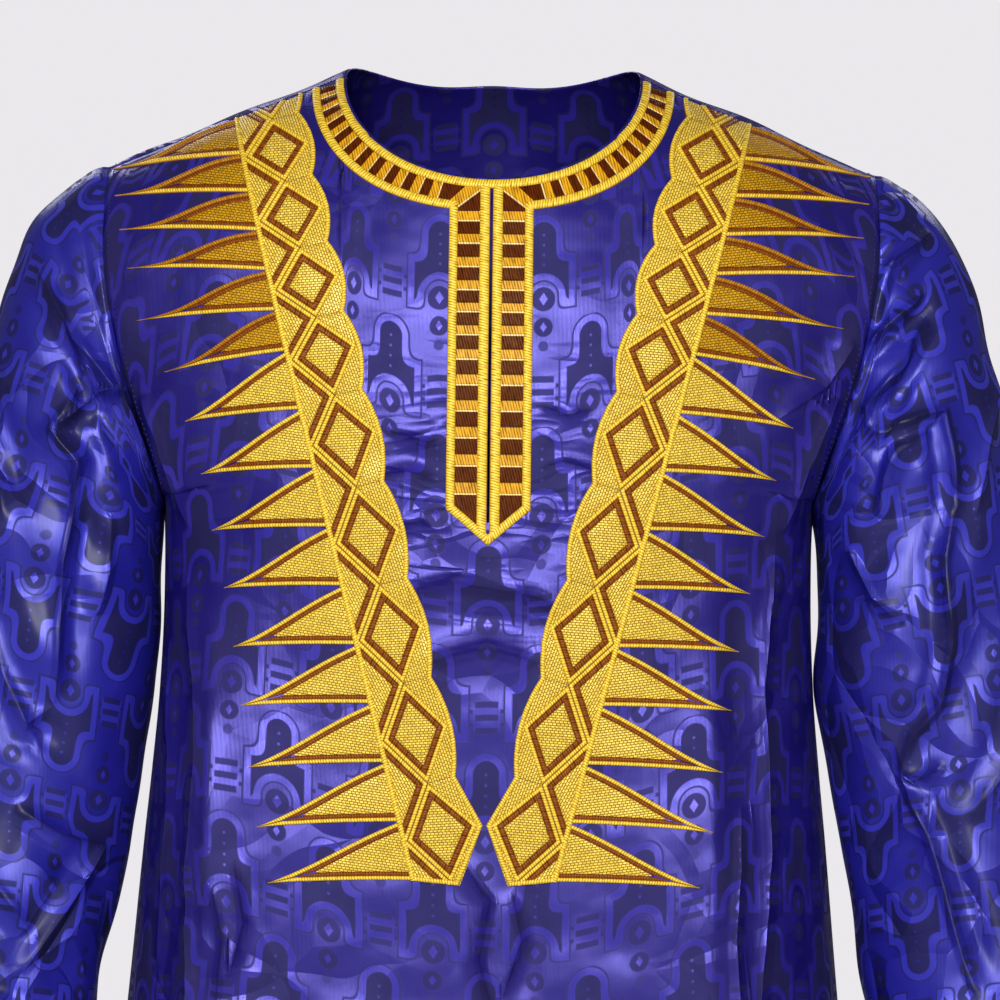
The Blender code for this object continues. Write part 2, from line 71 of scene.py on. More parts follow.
# z, half width, depth of the front, depth of the back
BODY = (
    (0.060, 0.2300, 0.128, 0.105),
    (-0.046, 0.2300, 0.128, 0.105),
    (-0.100, 0.2293, 0.129, 0.108),
    (-0.140, 0.2235, 0.130, 0.110),
    (-0.186, 0.2125, 0.130, 0.112),
    (-0.216, 0.2030, 0.130, 0.112),
    (-0.2445, 0.1965, 0.130, 0.111),
    (-0.300, 0.1950, 0.129, 0.107),
    (-0.360, 0.1972, 0.128, 0.105),
    (-0.410, 0.2015, 0.127, 0.106),
    (-0.450, 0.2055, 0.127, 0.110),
    (-0.533, 0.2130, 0.127, 0.117),
    (-0.700, 0.2290, 0.127, 0.123),
    (-0.840, 0.2400, 0.128, 0.126),
)


def soft_step(start, end, value):
    share = np.clip((value - start) / (end - start), 0.0, 1.0)
    return share * share * (3.0 - 2.0 * share)


def follow(table, column, value):
    """Reads a column of a table at a value of its first column, with a smooth curve through it."""
    keys = np.array([row[0] for row in table])
    values = np.array([row[column] for row in table])
    if keys[0] > keys[-1]:
        keys = keys[::-1]
        values = values[::-1]
    last = len(keys) - 1
    low = np.maximum(np.arange(last + 1) - 1, 0)
    high = np.minimum(np.arange(last + 1) + 1, last)
    slopes = (values[high] - values[low]) / (keys[high] - keys[low])
    value = np.clip(value, keys[0], keys[-1])
    index = np.clip(np.searchsorted(keys, value, side="left") - 1, 0, last - 1)
    span = keys[index + 1] - keys[index]
    share = (value - keys[index]) / span
    rise = values[index + 1] - values[index]
    start = slopes[index] * span
    end = slopes[index + 1] * span
    return (
        values[index]
        + start * share
        + (3.0 * rise - 2.0 * start - end) * share ** 2
        + (start + end - 2.0 * rise) * share ** 3
    )


def ridge_z(x):
    return RIDGE_TOP - RIDGE_SLOPE * np.hypot(x, RIDGE_ROUND)


def turn_radius(x, front):
    middle = TURN_CHEST if front else TURN_BACK
    return TURN_SHOULDER + (middle - TURN_SHOULDER) * (1.0 - soft_step(0.0, 0.2, np.abs(x)))


def turn_to(x, z):
    return np.arccos(np.clip(1.0 - (ridge_z(x) - z) / turn_radius(x, True), -1.0, 1.0))


ARM_TOP_Z = float(ridge_z(SHOULDER_HALF))
ARM_CENTRE_Z = (ARM_TOP_Z + UNDERARM_Z) / 2.0
ARM_HALF_HEIGHT = (ARM_TOP_Z - UNDERARM_Z) / 2.0
TURN_END_Z = ARM_TOP_Z - TURN_SHOULDER
TURN_END_ROUND = math.acos((TURN_END_Z - ARM_CENTRE_Z) / ARM_HALF_HEIGHT)
SEAM_TURN = float(turn_to(SHOULDER_HALF, SEAM_TOP - SEAM_SLOPE * SHOULDER_HALF))


def first_turn(x, front):
    """The angle at a panel's top edge: the shoulder seam, or the neckline inside it."""
    edge = np.minimum(np.abs(x), SHOULDER_HALF)
    seam = turn_to(edge, SEAM_TOP - SEAM_SLOPE * edge)
    round_share = np.sqrt(np.maximum(0.0, 1.0 - (edge / NECK_HALF) ** 2))
    if front:
        neck = turn_to(edge, NECK_TOP - NECK_DROP * round_share)
    else:
        corner = turn_to(NECK_HALF, NECK_TOP)
        neck = corner - (corner + BACK_NECK_TURN) * round_share
    return np.where(edge >= NECK_HALF - 1e-6, seam, neck)


def armhole_round(row):
    """How far round the armhole a row's end lies: 0 at the ridge, pi at the underarm."""
    turn = SEAM_TURN * (1.0 - row) + math.pi / 2.0 * row
    z = ARM_TOP_Z - TURN_SHOULDER * (1.0 - np.cos(turn))
    upper = np.arccos(np.clip((z - ARM_CENTRE_Z) / ARM_HALF_HEIGHT, -1.0, 1.0))
    lower = TURN_END_ROUND + (math.pi - TURN_END_ROUND) * (row - 1.0)
    return np.where(row <= 1.0, upper, np.where(row <= 2.0, lower, math.pi))


def body_points(front, share, row):
    """The body's outer face: share runs across it, and row runs down from the top edge.

    Rows 0 to 1 turn down from the shoulder, 1 to 2 run beside the armhole and 2 to 3 to the hem.
    """
    share, row = np.broadcast_arrays(share, row)
    across = np.abs(share)
    top_x = share * SHOULDER_HALF
    turned_z = ridge_z(top_x) - turn_radius(top_x, front)
    under_z = UNDERARM_Z + 0.4 * (turned_z - TURN_END_Z)
    round_angle = armhole_round(row)
    edge_z = ARM_CENTRE_Z + ARM_HALF_HEIGHT * np.cos(round_angle)
    edge_z = np.where(row > 2.0, UNDERARM_Z + (HEM_Z - UNDERARM_Z) * (row - 2.0), edge_z)
    start = first_turn(top_x, front) * (1.0 if front else -1.0)
    turn = start + (math.pi / 2.0 - start) * np.minimum(row, 1.0)
    radius = np.where(turn < 0.0, turn_radius(top_x, not front), turn_radius(top_x, front))
    fall = (TURN_END_Z - edge_z) / (TURN_END_Z - UNDERARM_Z)
    beside_z = turned_z + (under_z - turned_z) * fall
    below_z = under_z + (HEM_Z - under_z) * (row - 2.0)
    z = np.where(row <= 1.0, ridge_z(top_x) - radius * (1.0 - np.cos(turn)),
                 np.where(row <= 2.0, beside_z, below_z))
    depth_share = np.where(row <= 1.0, np.sin(turn), 1.0)
    near = follow(BODY, 2 if front else 3, z)
    far = follow(BODY, 3 if front else 2, z)
    half_width = follow(BODY, 1, z)
    centre = np.where(depth_share > 0.0, near, far) * depth_share
    edge = ARMHOLE_HALF_DEPTH * np.sin(round_angle) * np.clip(depth_share * 4.0, -1.0, 1.0)
    draped = ARMHOLE_HALF_DEPTH * (1.0 - soft_step(TURN_END_Z, DRAPE_END_Z, edge_z))
    edge = np.where(row > 1.0, draped + (edge - draped) * across ** 10, edge)
    roundness = 1.0 - 0.5 * soft_step(-0.15, UNDERARM_Z, edge_z)
    plump = (1.0 - across ** 2.3) ** roundness
    if front:
        fold = np.where(share < 0.0, PRESS_RIGHT, PRESS_LEFT) / half_width
        past = np.clip((across - fold) / (1.0 - fold), 0.0, 1.0)
        plump = plump + ((1.0 - past ** 1.3) ** 0.6 - plump) * soft_step(-0.26, -0.46, edge_z)
    depth = edge + (centre - edge) * plump
    flute = FLUTE_DEPTH * soft_step(-0.42, HEM_Z, z) * (1.0 - across ** 6)
    if front:
        flute = flute * soft_step(0.35, 0.75, across)
    wave = np.cos(FLUTES * math.pi * share + 0.6)
    y = (depth + flute * wave) * (-1.0 if front else 1.0)
    return np.stack([share * half_width, y, z], axis=-1)


def out_of(points, closed=False):
    """The outward directions of a grid of points whose rows run down and columns to the right."""
    if closed:
        right = np.roll(points, -1, axis=1) - np.roll(points, 1, axis=1)
    else:
        right = np.gradient(points, axis=1)
    down = np.gradient(points, axis=0)
    normal = np.cross(right, down)
    length = np.linalg.norm(normal, axis=-1, keepdims=True)
    return -normal / np.maximum(length, 1e-12)


def creases(points, table):
    """How far listed creases lift a sheet. Each is height, width, lean and its places in x, z.

    A crease is a ridge with a trough on one side, which its lean moves it to; it dies at both ends.
    Also gives the way across the nearest crease, in its widths, and how high that one is.
    """
    x = points[..., 0]
    z = points[..., 2]
    lift = np.zeros(x.shape)
    fold_side = np.full(x.shape, 9.0)
    fold_rise = np.zeros(x.shape)
    for height, width, lean, path in table:
        path = np.array(path)
        steps = np.linalg.norm(np.diff(path, axis=0), axis=1)
        total = steps.sum()
        near = np.full(x.shape, 1e9)
        sign = np.zeros(x.shape)
        along = np.zeros(x.shape)
        run = 0.0
        for (x0, z0), (x1, z1), step in zip(path, path[1:], steps):
            dx = (x1 - x0) / step
            dz = (z1 - z0) / step
            place = np.clip((x - x0) * dx + (z - z0) * dz, 0.0, step)
            off_x = x - x0 - dx * place
            off_z = z - z0 - dz * place
            away = np.hypot(off_x, off_z)
            closer = away < near
            near = np.where(closer, away, near)
            sign = np.where(closer, np.sign(off_x * dz - off_z * dx), sign)
            along = np.where(closer, (run + place) / total, along)
            run += step
        side = near * sign / width
        ends = np.sqrt(np.clip(np.minimum(along, 1.0 - along) * 5.0, 0.0, 1.0))
        ridge = np.exp(-np.abs(side) ** 1.2)
        trough = np.exp(-((side - lean * 1.7) / 1.2) ** 2)
        lift += 1.5 * height * ends * (ridge - 0.7 * abs(lean) * trough)
        nearer = np.abs(side) < np.abs(fold_side)
        fold_side = np.where(nearer, side, fold_side)
        fold_rise = np.where(nearer, height * ends, fold_rise)
    return lift, fold_side, fold_rise


def crumple(points, seed, size, amount):
    """A soft unevenness all over, from a few slanting waves that never line up."""
    rng = np.random.default_rng(seed)
    lift = np.zeros(points.shape[:-1])
    for _ in range(14):
        angle = rng.uniform(0.0, math.pi)
        length = size * rng.uniform(0.6, 1.9)
        phase = rng.uniform(0.0, 2.0 * math.pi)
        turn = points[..., 0] * math.cos(angle) + points[..., 2] * math.sin(angle)
        bend = 0.35 * np.sin(points[..., 2] / size * 0.9 + phase * 2.0)
        lift += np.sin(turn * 2.0 * math.pi / length + phase + bend * 3.0)
    return amount * lift / 4.0


def lay_out(points, middle, level):
    """Where the sheet's points lie on the flat cloth, in metres from one column and one row."""
    across = np.linalg.norm(np.diff(points, axis=1), axis=-1)
    u = np.concatenate([np.zeros((len(points), 1)), np.cumsum(across, axis=1)], axis=1)
    u = u - u[:, middle:middle + 1]
    down = np.linalg.norm(np.diff(points, axis=0), axis=-1)
    v = np.concatenate([np.zeros((1, points.shape[1])), np.cumsum(down, axis=0)], axis=0)
    v = v - v[level:level + 1]
    return u, v


@contextlib.contextmanager
def opened(piece):
    """Opens a piece's mesh for changes, and puts them back."""
    work = bmesh.new()
    work.from_mesh(piece.data)
    yield work
    work.to_mesh(piece.data)
    work.free()


def cut_sheet(name, points, u, v, material, folds, skip=None, turned=False):
    """A sheet of cloth: a grid primitive bent to its points, with its lie on the flat cloth as UV.

    The folds are the way across the nearest crease and its height, which the cloth's face reads.
    """
    rows, columns = points.shape[:2]
    bpy.ops.object.select_all(action="DESELECT")
    bpy.ops.mesh.primitive_grid_add(x_subdivisions=columns - 1, y_subdivisions=rows - 1, size=1.0)
    piece = bpy.context.object
    piece.name = name
    mesh = piece.data
    mesh.name = name
    mesh.vertices.foreach_set("co", points.reshape(-1))
    fold_side, fold_rise = folds
    fold_far = np.abs(fold_side)
    for label, values in (("fold_side", fold_side), ("fold_far", fold_far), ("fold_rise", fold_rise)):
        kept = mesh.attributes.new(label, "FLOAT", "POINT")
        kept.data.foreach_set("value", np.clip(values, -9.0, 9.0).astype(np.float32).reshape(-1))
    corners = np.empty(len(mesh.loops), dtype=np.int32)
    mesh.loops.foreach_get("vertex_index", corners)
    flat = np.stack([u.reshape(-1)[corners], v.reshape(-1)[corners]], axis=-1)
    mesh.uv_layers[0].uv.foreach_set("vector", flat.astype(np.float32).reshape(-1))
    mesh.materials.append(material)
    with opened(piece) as work:
        if skip is not None:
            spare = [face for face in work.faces if skip(face.calc_center_median())]
            bmesh.ops.delete(work, geom=spare, context="FACES")
        if turned:
            bmesh.ops.reverse_faces(work, faces=work.faces[:])
    return piece


def give_body(piece, thickness):
    """Gives a sheet the cloth's thickness, inwards from its outer face."""
    bpy.ops.object.select_all(action="DESELECT")
    piece.select_set(True)
    bpy.context.view_layer.objects.active = piece
    solid = piece.modifiers.new("thickness", "SOLIDIFY")
    solid.thickness = thickness
    solid.offset = -1.0
    solid.use_rim = True
    bpy.ops.object.modifier_apply(modifier=solid.name)
    bpy.ops.object.shade_smooth()
    bpy.ops.object.transform_apply(location=True, rotation=True, scale=True)


def flat_area(points):
    """The area of a grid of points."""
    across = points[:-1, 1:] - points[:-1, :-1]
    down = points[1:, :-1] - points[:-1, :-1]
    return float(np.linalg.norm(np.cross(across, down), axis=-1).sum())


class Sum:
    """A number in a node tree. Sums and products of it become Math nodes in the same tree."""

    def __init__(self, socket):
        self.socket = socket

    def __add__(self, other):
        return reckon("ADD", self, other)

    def __radd__(self, other):
        return reckon("ADD", other, self)

    def __sub__(self, other):
        return reckon("SUBTRACT", self, other)

    def __rsub__(self, other):
        return reckon("SUBTRACT", other, self)

    def __mul__(self, other):
        return reckon("MULTIPLY", self, other)

    def __truediv__(self, other):
        return reckon("DIVIDE", self, other)

    def __mod__(self, other):
        return reckon("MODULO", self, other)

    def __rpow__(self, other):
        return reckon("POWER", other, self)

    def __abs__(self):
        return reckon("ABSOLUTE", self)

    def clamped(self):
        """Keeps the last sum between 0 and 1."""
        self.socket.node.use_clamp = True
        return self


def wire(source, target):
    """Feeds a node's input with a Sum, an output or a plain value."""
    if isinstance(source, Sum):
        source = source.socket
    if hasattr(source, "links"):
        source.id_data.links.new(source, target)
    else:
        target.default_value = source


def reckon(operation, first, second=0.0, third=0.0):
    """A Math node on numbers, one of the first two a Sum."""
    tree = (first if isinstance(first, Sum) else second).socket.id_data
    node = tree.nodes.new("ShaderNodeMath")
    node.operation = operation
    for source, target in zip((first, second, third), node.inputs):
        wire(source, target)
    return Sum(node.outputs[0])


def most(first, second):
    return reckon("MAXIMUM", first, second)


def least(first, second):
    return reckon("MINIMUM", first, second)


def below(value, level, soft):
    """1 where a Sum is under a level, with a soft edge."""
    node = value.socket.id_data.nodes.new("ShaderNodeMapRange")
    node.interpolation_type = "SMOOTHSTEP"
    wire(value, node.inputs["Value"])
    node.inputs["From Min"].default_value = level - soft
    node.inputs["From Max"].default_value = level + soft
    node.inputs["To Min"].default_value = 1.0
    node.inputs["To Max"].default_value = 0.0
    return Sum(node.outputs["Result"])


def mixed(share, first, second):
    """A Mix Color node; each colour is three numbers or an output."""
    node = share.socket.id_data.nodes.new("ShaderNodeMix")
    node.data_type = "RGBA"
    wire(share, node.inputs["Factor"])
    for source, target in ((first, node.inputs["A"]), (second, node.inputs["B"])):
        wire((*source, 1.0) if isinstance(source, tuple) else source, target)
    return node.outputs["Result"]


def noise(place, scale, detail, rough=0.5, distortion=0.0):
    node = place.id_data.nodes.new("ShaderNodeTexNoise")
    wire(place, node.inputs["Vector"])
    node.inputs["Scale"].default_value = scale
    node.inputs["Detail"].default_value = detail
    node.inputs["Roughness"].default_value = rough
    node.inputs["Distortion"].default_value = distortion
    return node


def vector_sum(operation, place, second, third=None):
    """A Vector Math node on a place."""
    node = place.id_data.nodes.new("ShaderNodeVectorMath")
    node.operation = operation
    for source, target in zip((place, second, third), node.inputs):
        if source is not None:
            wire(source, target)
    return node.outputs


def read(tree, label):
    """An attribute of the mesh."""
    node = tree.nodes.new("ShaderNodeAttribute")
    node.attribute_name = label
    return Sum(node.outputs["Fac"])


def new_group(name, numbers, colours, outputs):
    """A node group. Gives its tree, its inputs by name and its outputs by name."""
    tree = bpy.data.node_groups.new(name, "ShaderNodeTree")
    for label in numbers:
        tree.interface.new_socket(label, in_out="INPUT", socket_type="NodeSocketFloat")
    for label in colours:
        tree.interface.new_socket(label, in_out="INPUT", socket_type="NodeSocketColor")
    for label in outputs:
        kind = "NodeSocketColor" if label == "Colour" else "NodeSocketFloat"
        tree.interface.new_socket(label, in_out="OUTPUT", socket_type=kind)
    given = tree.nodes.new("NodeGroupInput").outputs
    wanted = tree.nodes.new("NodeGroupOutput").inputs
    return tree, given, wanted


# One motif of the woven repeat, charted in units of 0.58 mm from the top of its bell: a bell with a
# dark heart, an arch under it, two rings and a dot below, and a ladder before the next bell.
SOFT = 0.75
BELL_TOP_RADIUS = 21.0
BELL_HALF_WIDTH = 35.0
BELL_SKIRT = 42.0
HEART_INSET = 8.0
ARCH_RADIUS = 15.5
ARCH_CENTRE = 86.0
ARCH_FOOT = 99.0
RINGS = ((89.0, 12.2, 4.6, 6.6), (117.6, 9.8, 3.6, 5.2))
DOT = (137.0, 5.2)
SEED_TOP = 22.0
SEEDS = 4
SEED_GAP = 10.5
SEED_RADIUS = 1.4
LADDER_TOP = 163.5
LADDER_LENGTH = 39.0
RUNG_STEP = 13.0
motif, given, wanted = new_group("damask_motif", ("Across", "Down"), (), ("Dark", "Light"))
across = abs(Sum(given["Across"]))
across_squared = across * across
down = Sum(given["Down"])


def far_from(fall):
    """How far a place is from a point on the motif's middle line."""
    return reckon("SQRT", across_squared + fall * fall)


dome = far_from(most(BELL_TOP_RADIUS - down, 0.0)) - BELL_TOP_RADIUS
skirt = most(across - BELL_HALF_WIDTH, BELL_SKIRT - down)
bell = reckon("SMOOTH_MIN", dome, skirt, 20.0)
arch = reckon("SMOOTH_MIN", far_from(most(ARCH_CENTRE - down, 0.0)) - ARCH_RADIUS, ARCH_FOOT - down, 12.0)
shape = most(bell, arch * -1.0)
edge_line = below(abs(shape), 0.95, SOFT)
heart = below(shape, -HEART_INSET, SOFT)
band = below(shape, -1.0, SOFT) * (1.0 - heart)

dark = most(heart, edge_line * 0.8)
light = band
for centre, radius, gem_half_width, gem_half_height in RINGS:
    gem_fall = abs(down - centre) * (gem_half_width / gem_half_height)
    gem = below(across + gem_fall, gem_half_width, SOFT)
    ring = (below(far_from(down - centre), radius, SOFT) - gem).clamped()
    dark = most(dark, ring * 0.9)
    light = most(light, gem)
dark = most(dark, below(far_from(down - DOT[0]), DOT[1], SOFT) * 0.6)

ladder_down = down - LADDER_TOP
ladder_on = below(ladder_down * -1.0, 0.0, 0.1) * below(ladder_down, LADDER_LENGTH, 0.1)
rung = abs(ladder_down % RUNG_STEP - RUNG_STEP / 2.0)
bar = below(rung, 3.2, SOFT) * below(across, 11.5, SOFT)
link = below(across, 13.5, SOFT) * (1.0 - bar)
peg = below(abs(across - 15.8), 2.2, SOFT) * below(RUNG_STEP / 2.0 - rung, 2.0, SOFT)
inner = ladder_on * below(abs(ladder_down - LADDER_LENGTH / 2.0), RUNG_STEP, 0.5)
dark = most(dark, ladder_on * most(bar, peg * inner) * 0.85)
light = most(light, link * inner * 0.8)

# A vertical row of light seeds in the heart
seed = reckon("ROUND", (down - SEED_TOP) / SEED_GAP) * SEED_GAP
seed = least(most(seed, 0.0), SEED_GAP * (SEEDS - 1))
dark = dark * (1.0 - below(far_from(down - SEED_TOP - seed), SEED_RADIUS, SOFT) * 0.8)
wire(dark, wanted["Dark"])
wire(light, wanted["Light"])

# The repeat: the motif in columns 30 mm apart, each second column half a repeat lower
MOTIF_UNIT = 0.000580
REPEAT_ACROSS = 105.0
REPEAT_DOWN = 218.0
repeat, given, wanted = new_group("damask_repeat", ("Across", "Down"), (), ("Dark", "Light"))
halves = []
for shift in (0.0, 0.5):
    cell = repeat.nodes.new("ShaderNodeGroup")
    cell.node_tree = motif
    turns = Sum(given["Across"]) / (REPEAT_ACROSS * MOTIF_UNIT) + (shift + 0.5)
    drops = Sum(given["Down"]) / (REPEAT_DOWN * MOTIF_UNIT) + shift
    wire((reckon("FRACT", turns) - 0.5) * REPEAT_ACROSS, cell.inputs["Across"])
    wire(reckon("FRACT", drops) * REPEAT_DOWN, cell.inputs["Down"])
    halves.append(cell.outputs)
for label in ("Dark", "Light"):
    wire(most(Sum(halves[0][label]), Sum(halves[1][label])), wanted[label])

# The cloth's face: tones of the weave, the shine of the beaten finish and its fine wrinkles
finish, given, wanted = new_group("polished_weave", ("Dark", "Light", "Crumple"),
                                  ("Ground Colour", "Dark Colour", "Light Colour"),
                                  ("Colour", "Roughness", "Height"))
place = finish.nodes.new("ShaderNodeTexCoord").outputs["Object"]
streak = Sum(noise(place, 46.0, 1.0, 0.65).outputs["Fac"])
woven_dark = Sum(given["Dark"])
lighter = Sum(given["Light"]) * (1.0 - woven_dark)
tone = mixed(woven_dark, given["Ground Colour"], given["Dark Colour"])
tone = mixed(lighter, tone, given["Light Colour"])
cloud = (Sum(noise(place, 9.0, 1.0).outputs["Fac"]) - 0.42).clamped() * 0.9
wire(mixed(cloud, tone, (0.010, 0.005, 0.075)), wanted["Colour"])
wire(0.29 + streak * 0.16 + woven_dark * 0.36 - lighter * 0.05, wanted["Roughness"])

# Flat facets between soft folds, where the cloth was crumpled
warp_noise = noise(place, 11.0, 1.0).outputs["Color"]
fold_map = finish.nodes.new("ShaderNodeTexVoronoi")
fold_map.feature = "DISTANCE_TO_EDGE"
fold_map.inputs["Scale"].default_value = 15.0
wire(vector_sum("MULTIPLY_ADD", warp_noise, (0.09, 0.09, 0.09), place)[0], fold_map.inputs["Vector"])
here = (Sum(noise(place, 6.0, 1.0).outputs["Fac"]) - 0.38).clamped()
facets = least(Sum(fold_map.outputs["Distance"]), 0.22) * here
height = facets * Sum(given["Crumple"]) + streak * 0.0011

# A sharp crest on each listed crease
crest = math.e ** (abs(read(finish, "fold_side")) * -3.4)
crest = crest * below(read(finish, "fold_far"), 0.60, 0.25) * read(finish, "fold_rise")
height = height + crest * 1.05

# Flat wrinkles on the chest, which die away from its middle
chest = vector_sum("MULTIPLY_ADD", place, (9.0, 0.0, 9.5), (0.0, 0.0, 2.15))[0]
chest_far = Sum(vector_sum("LENGTH", chest, None)["Value"])
stretched = vector_sum("MULTIPLY", place, (17.0, 1.0, 62.0))[0]
wrinkle = least(abs(Sum(noise(stretched, 1.0, 1.0, 0.5, 0.6).outputs["Fac"]) - 0.5), 0.10)
height = height + wrinkle * below(chest_far, 0.75, 0.45) * -0.0062
weave_map = finish.nodes.new("ShaderNodeTexWave")
weave_map.inputs["Scale"].default_value = 420.0
wire(place, weave_map.inputs["Vector"])
wire(height + Sum(weave_map.outputs["Fac"]) * 0.00004, wanted["Height"])


def new_material(name):
    """A material. Gives it, its node tree and its Principled shader."""
    material = bpy.data.materials.new(name)
    material.use_nodes = True
    return material, material.node_tree, material.node_tree.nodes["Principled BSDF"]


def bump_with(height, shader, distance=1.0):
    bump = height.id_data.nodes.new("ShaderNodeBump")
    bump.inputs["Strength"].default_value = 1.0
    bump.inputs["Distance"].default_value = distance
    wire(height, bump.inputs["Height"])
    wire(bump.outputs["Normal"], shader.inputs["Normal"])


def damask(name, tones, turned, glaze, crumple, sheen):
    """The finished cloth: its ground, dark and light tones, whether its repeat is upside down, its
    glaze, the depth of its crumpling and the colour of its sheen.
    """
    material, tree, shader = new_material(name)
    lie = tree.nodes.new("ShaderNodeSeparateXYZ")
    wire(tree.nodes.new("ShaderNodeTexCoord").outputs["UV"], lie.inputs[0])
    woven = tree.nodes.new("ShaderNodeGroup")
    woven.node_tree = repeat
    wire(lie.outputs["X"], woven.inputs["Across"])
    wire(Sum(lie.outputs["Y"]) * (-1.0 if turned else 1.0), woven.inputs["Down"])
    face = tree.nodes.new("ShaderNodeGroup")
    face.node_tree = finish
    wire(woven.outputs["Dark"], face.inputs["Dark"])
    wire(woven.outputs["Light"], face.inputs["Light"])
    wire(crumple, face.inputs["Crumple"])
    for label, tone in zip(("Ground Colour", "Dark Colour", "Light Colour"), tones):
        wire((*tone, 1.0), face.inputs[label])
    wire(face.outputs["Colour"], shader.inputs["Base Color"])
    wire(face.outputs["Roughness"], shader.inputs["Roughness"])
    bump_with(face.outputs["Height"], shader)
    shader.inputs["IOR"].default_value = 1.7
    shader.inputs["Specular IOR Level"].default_value = 1.0
    shader.inputs["Specular Tint"].default_value = (*sheen, 1.0)
    shader.inputs["Coat Weight"].default_value = glaze
    shader.inputs["Coat Roughness"].default_value = 0.27
    shader.inputs["Coat Tint"].default_value = (0.90, 0.90, 1.0, 1.0)
    return material


body_damask = damask("body_damask", ((0.009, 0.005, 0.125), (0.002, 0.001, 0.018), (0.024, 0.017, 0.25)),
                     turned=False, glaze=0.0, crumple=0.034, sheen=(0.31, 0.28, 1.0))
sleeve_damask = damask("sleeve_damask", ((0.014, 0.013, 0.24), (0.003, 0.002, 0.034), (0.030, 0.029, 0.38)),
                       turned=True, glaze=0.17, crumple=0.110, sheen=(0.22, 0.22, 0.78))

# Height, width, lean, and the places it runs through
FRONT_CREASES = (
    (0.0016, 0.0050, 1, ((-0.058, -0.205), (-0.036, -0.212), (-0.029, -0.210))),
    (0.0012, 0.0040, -1, ((-0.066, -0.232), (-0.046, -0.229), (-0.030, -0.234))),
    (0.0012, 0.0040, 1, ((-0.060, -0.263), (-0.040, -0.258), (-0.030, -0.262))),
    (0.0010, 0.0040, 1, ((0.028, -0.190), (0.046, -0.196), (0.058, -0.192))),
    (0.0010, 0.0040, -1, ((0.030, -0.226), (0.044, -0.222), (0.062, -0.228))),
    (0.0022, 0.0090, 1, ((-0.060, -0.300), (-0.020, -0.292), (0.030, -0.300), (0.050, -0.312))),
    (0.0018, 0.0080, -1, ((-0.040, -0.340), (0.000, -0.330), (0.030, -0.338))),
    (0.0020, 0.0060, 1, ((-0.014, -0.452), (0.004, -0.476), (-0.002, -0.510), (0.010, -0.552))),
    (0.0018, 0.0055, -1, ((0.016, -0.470), (0.022, -0.498), (0.012, -0.530))),
    (0.0026, 0.0085, 1, ((-0.205, -0.185), (-0.188, -0.226), (-0.176, -0.262))),
    (0.0030, 0.0090, -1, ((0.205, -0.180), (0.186, -0.222), (0.172, -0.262))),
    (0.0020, 0.0070, 1, ((0.214, -0.150), (0.196, -0.176), (0.168, -0.196))),
    (0.0030, 0.0090, 1, ((-0.176, -0.290), (-0.168, -0.380), (-0.172, -0.470), (-0.168, -0.590))),
    (0.0028, 0.0080, -1, ((-0.190, -0.330), (-0.186, -0.420), (-0.192, -0.520))),
    (0.0032, 0.0090, 1, ((0.168, -0.270), (0.160, -0.350), (0.166, -0.450), (0.160, -0.560))),
    (0.0028, 0.0080, -1, ((0.150, -0.420), (0.146, -0.500), (0.152, -0.600))),
    (0.0020, 0.0050, 1, ((-0.156, -0.470), (-0.150, -0.500), (-0.154, -0.540))),
    (0.0018, 0.0050, -1, ((-0.144, -0.455), (-0.138, -0.490), (-0.146, -0.520))),
    (0.0024, 0.0100, 1, ((-0.110, -0.560), (-0.020, -0.575), (0.070, -0.562))),
    (0.0022, 0.0100, -1, ((-0.060, -0.640), (0.020, -0.650), (0.100, -0.640))),
    (0.0022, 0.0090, 1, ((0.060, -0.700), (0.075, -0.760), (0.070, -0.830))),
    (0.0022, 0.0090, -1, ((-0.080, -0.690), (-0.090, -0.750), (-0.086, -0.830))),
)
NECK_STEPS = 34
SIDE_STEPS = 44
TURN_ROWS = 60
ARMHOLE_ROWS = 30
LOWER_ROWS = 180
half_neck = [NECK_HALF / SHOULDER_HALF * math.sin(math.pi / 2.0 * step / NECK_STEPS)
             for step in range(1, NECK_STEPS + 1)]
half_side = [NECK_HALF / SHOULDER_HALF + (1.0 - NECK_HALF / SHOULDER_HALF) * step / SIDE_STEPS
             for step in range(1, SIDE_STEPS + 1)]
half_shares = [SLIT_HALF / SHOULDER_HALF] + half_neck + half_side
panel_shares = np.array([-share for share in reversed(half_shares)] + half_shares)[None, :]
panel_rows = np.concatenate([np.linspace(0.0, 1.0, TURN_ROWS), np.linspace(1.0, 2.0, ARMHOLE_ROWS + 1)[1:],
                             np.linspace(2.0, 3.0, LOWER_ROWS + 1)[1:]])[:, None]
MIDDLE = len(half_shares)
UNDERARM_ROW = TURN_ROWS + ARMHOLE_ROWS - 1

front_smooth = body_points(True, panel_shares, panel_rows)
front_lift, front_side, front_rise = creases(front_smooth, FRONT_CREASES)
front_lift += crumple(front_smooth, 3, 0.055, 0.0006) * soft_step(0.0, 0.05, panel_rows)
fade = soft_step(1.0, 0.965, np.abs(panel_shares)) * soft_step(0.0, 0.08, panel_rows)
front_points = front_smooth + out_of(front_smooth) * (front_lift * fade)[..., None]
front_u, front_v = lay_out(front_points, MIDDLE, UNDERARM_ROW)
front_area = flat_area(front_points)
front_face = BVHTree.FromPolygons(
    [Vector(point) for point in front_points.reshape(-1, 3)],
    [(row * 2 * MIDDLE + column, row * 2 * MIDDLE + column + 1,
      (row + 1) * 2 * MIDDLE + column + 1, (row + 1) * 2 * MIDDLE + column)
     for row in range(len(panel_rows) - 1) for column in range(2 * MIDDLE - 1)],
)


def in_slit(centre):
    return abs(centre.x) < SLIT_HALF * 0.9 and centre.z > SLIT_END_Z


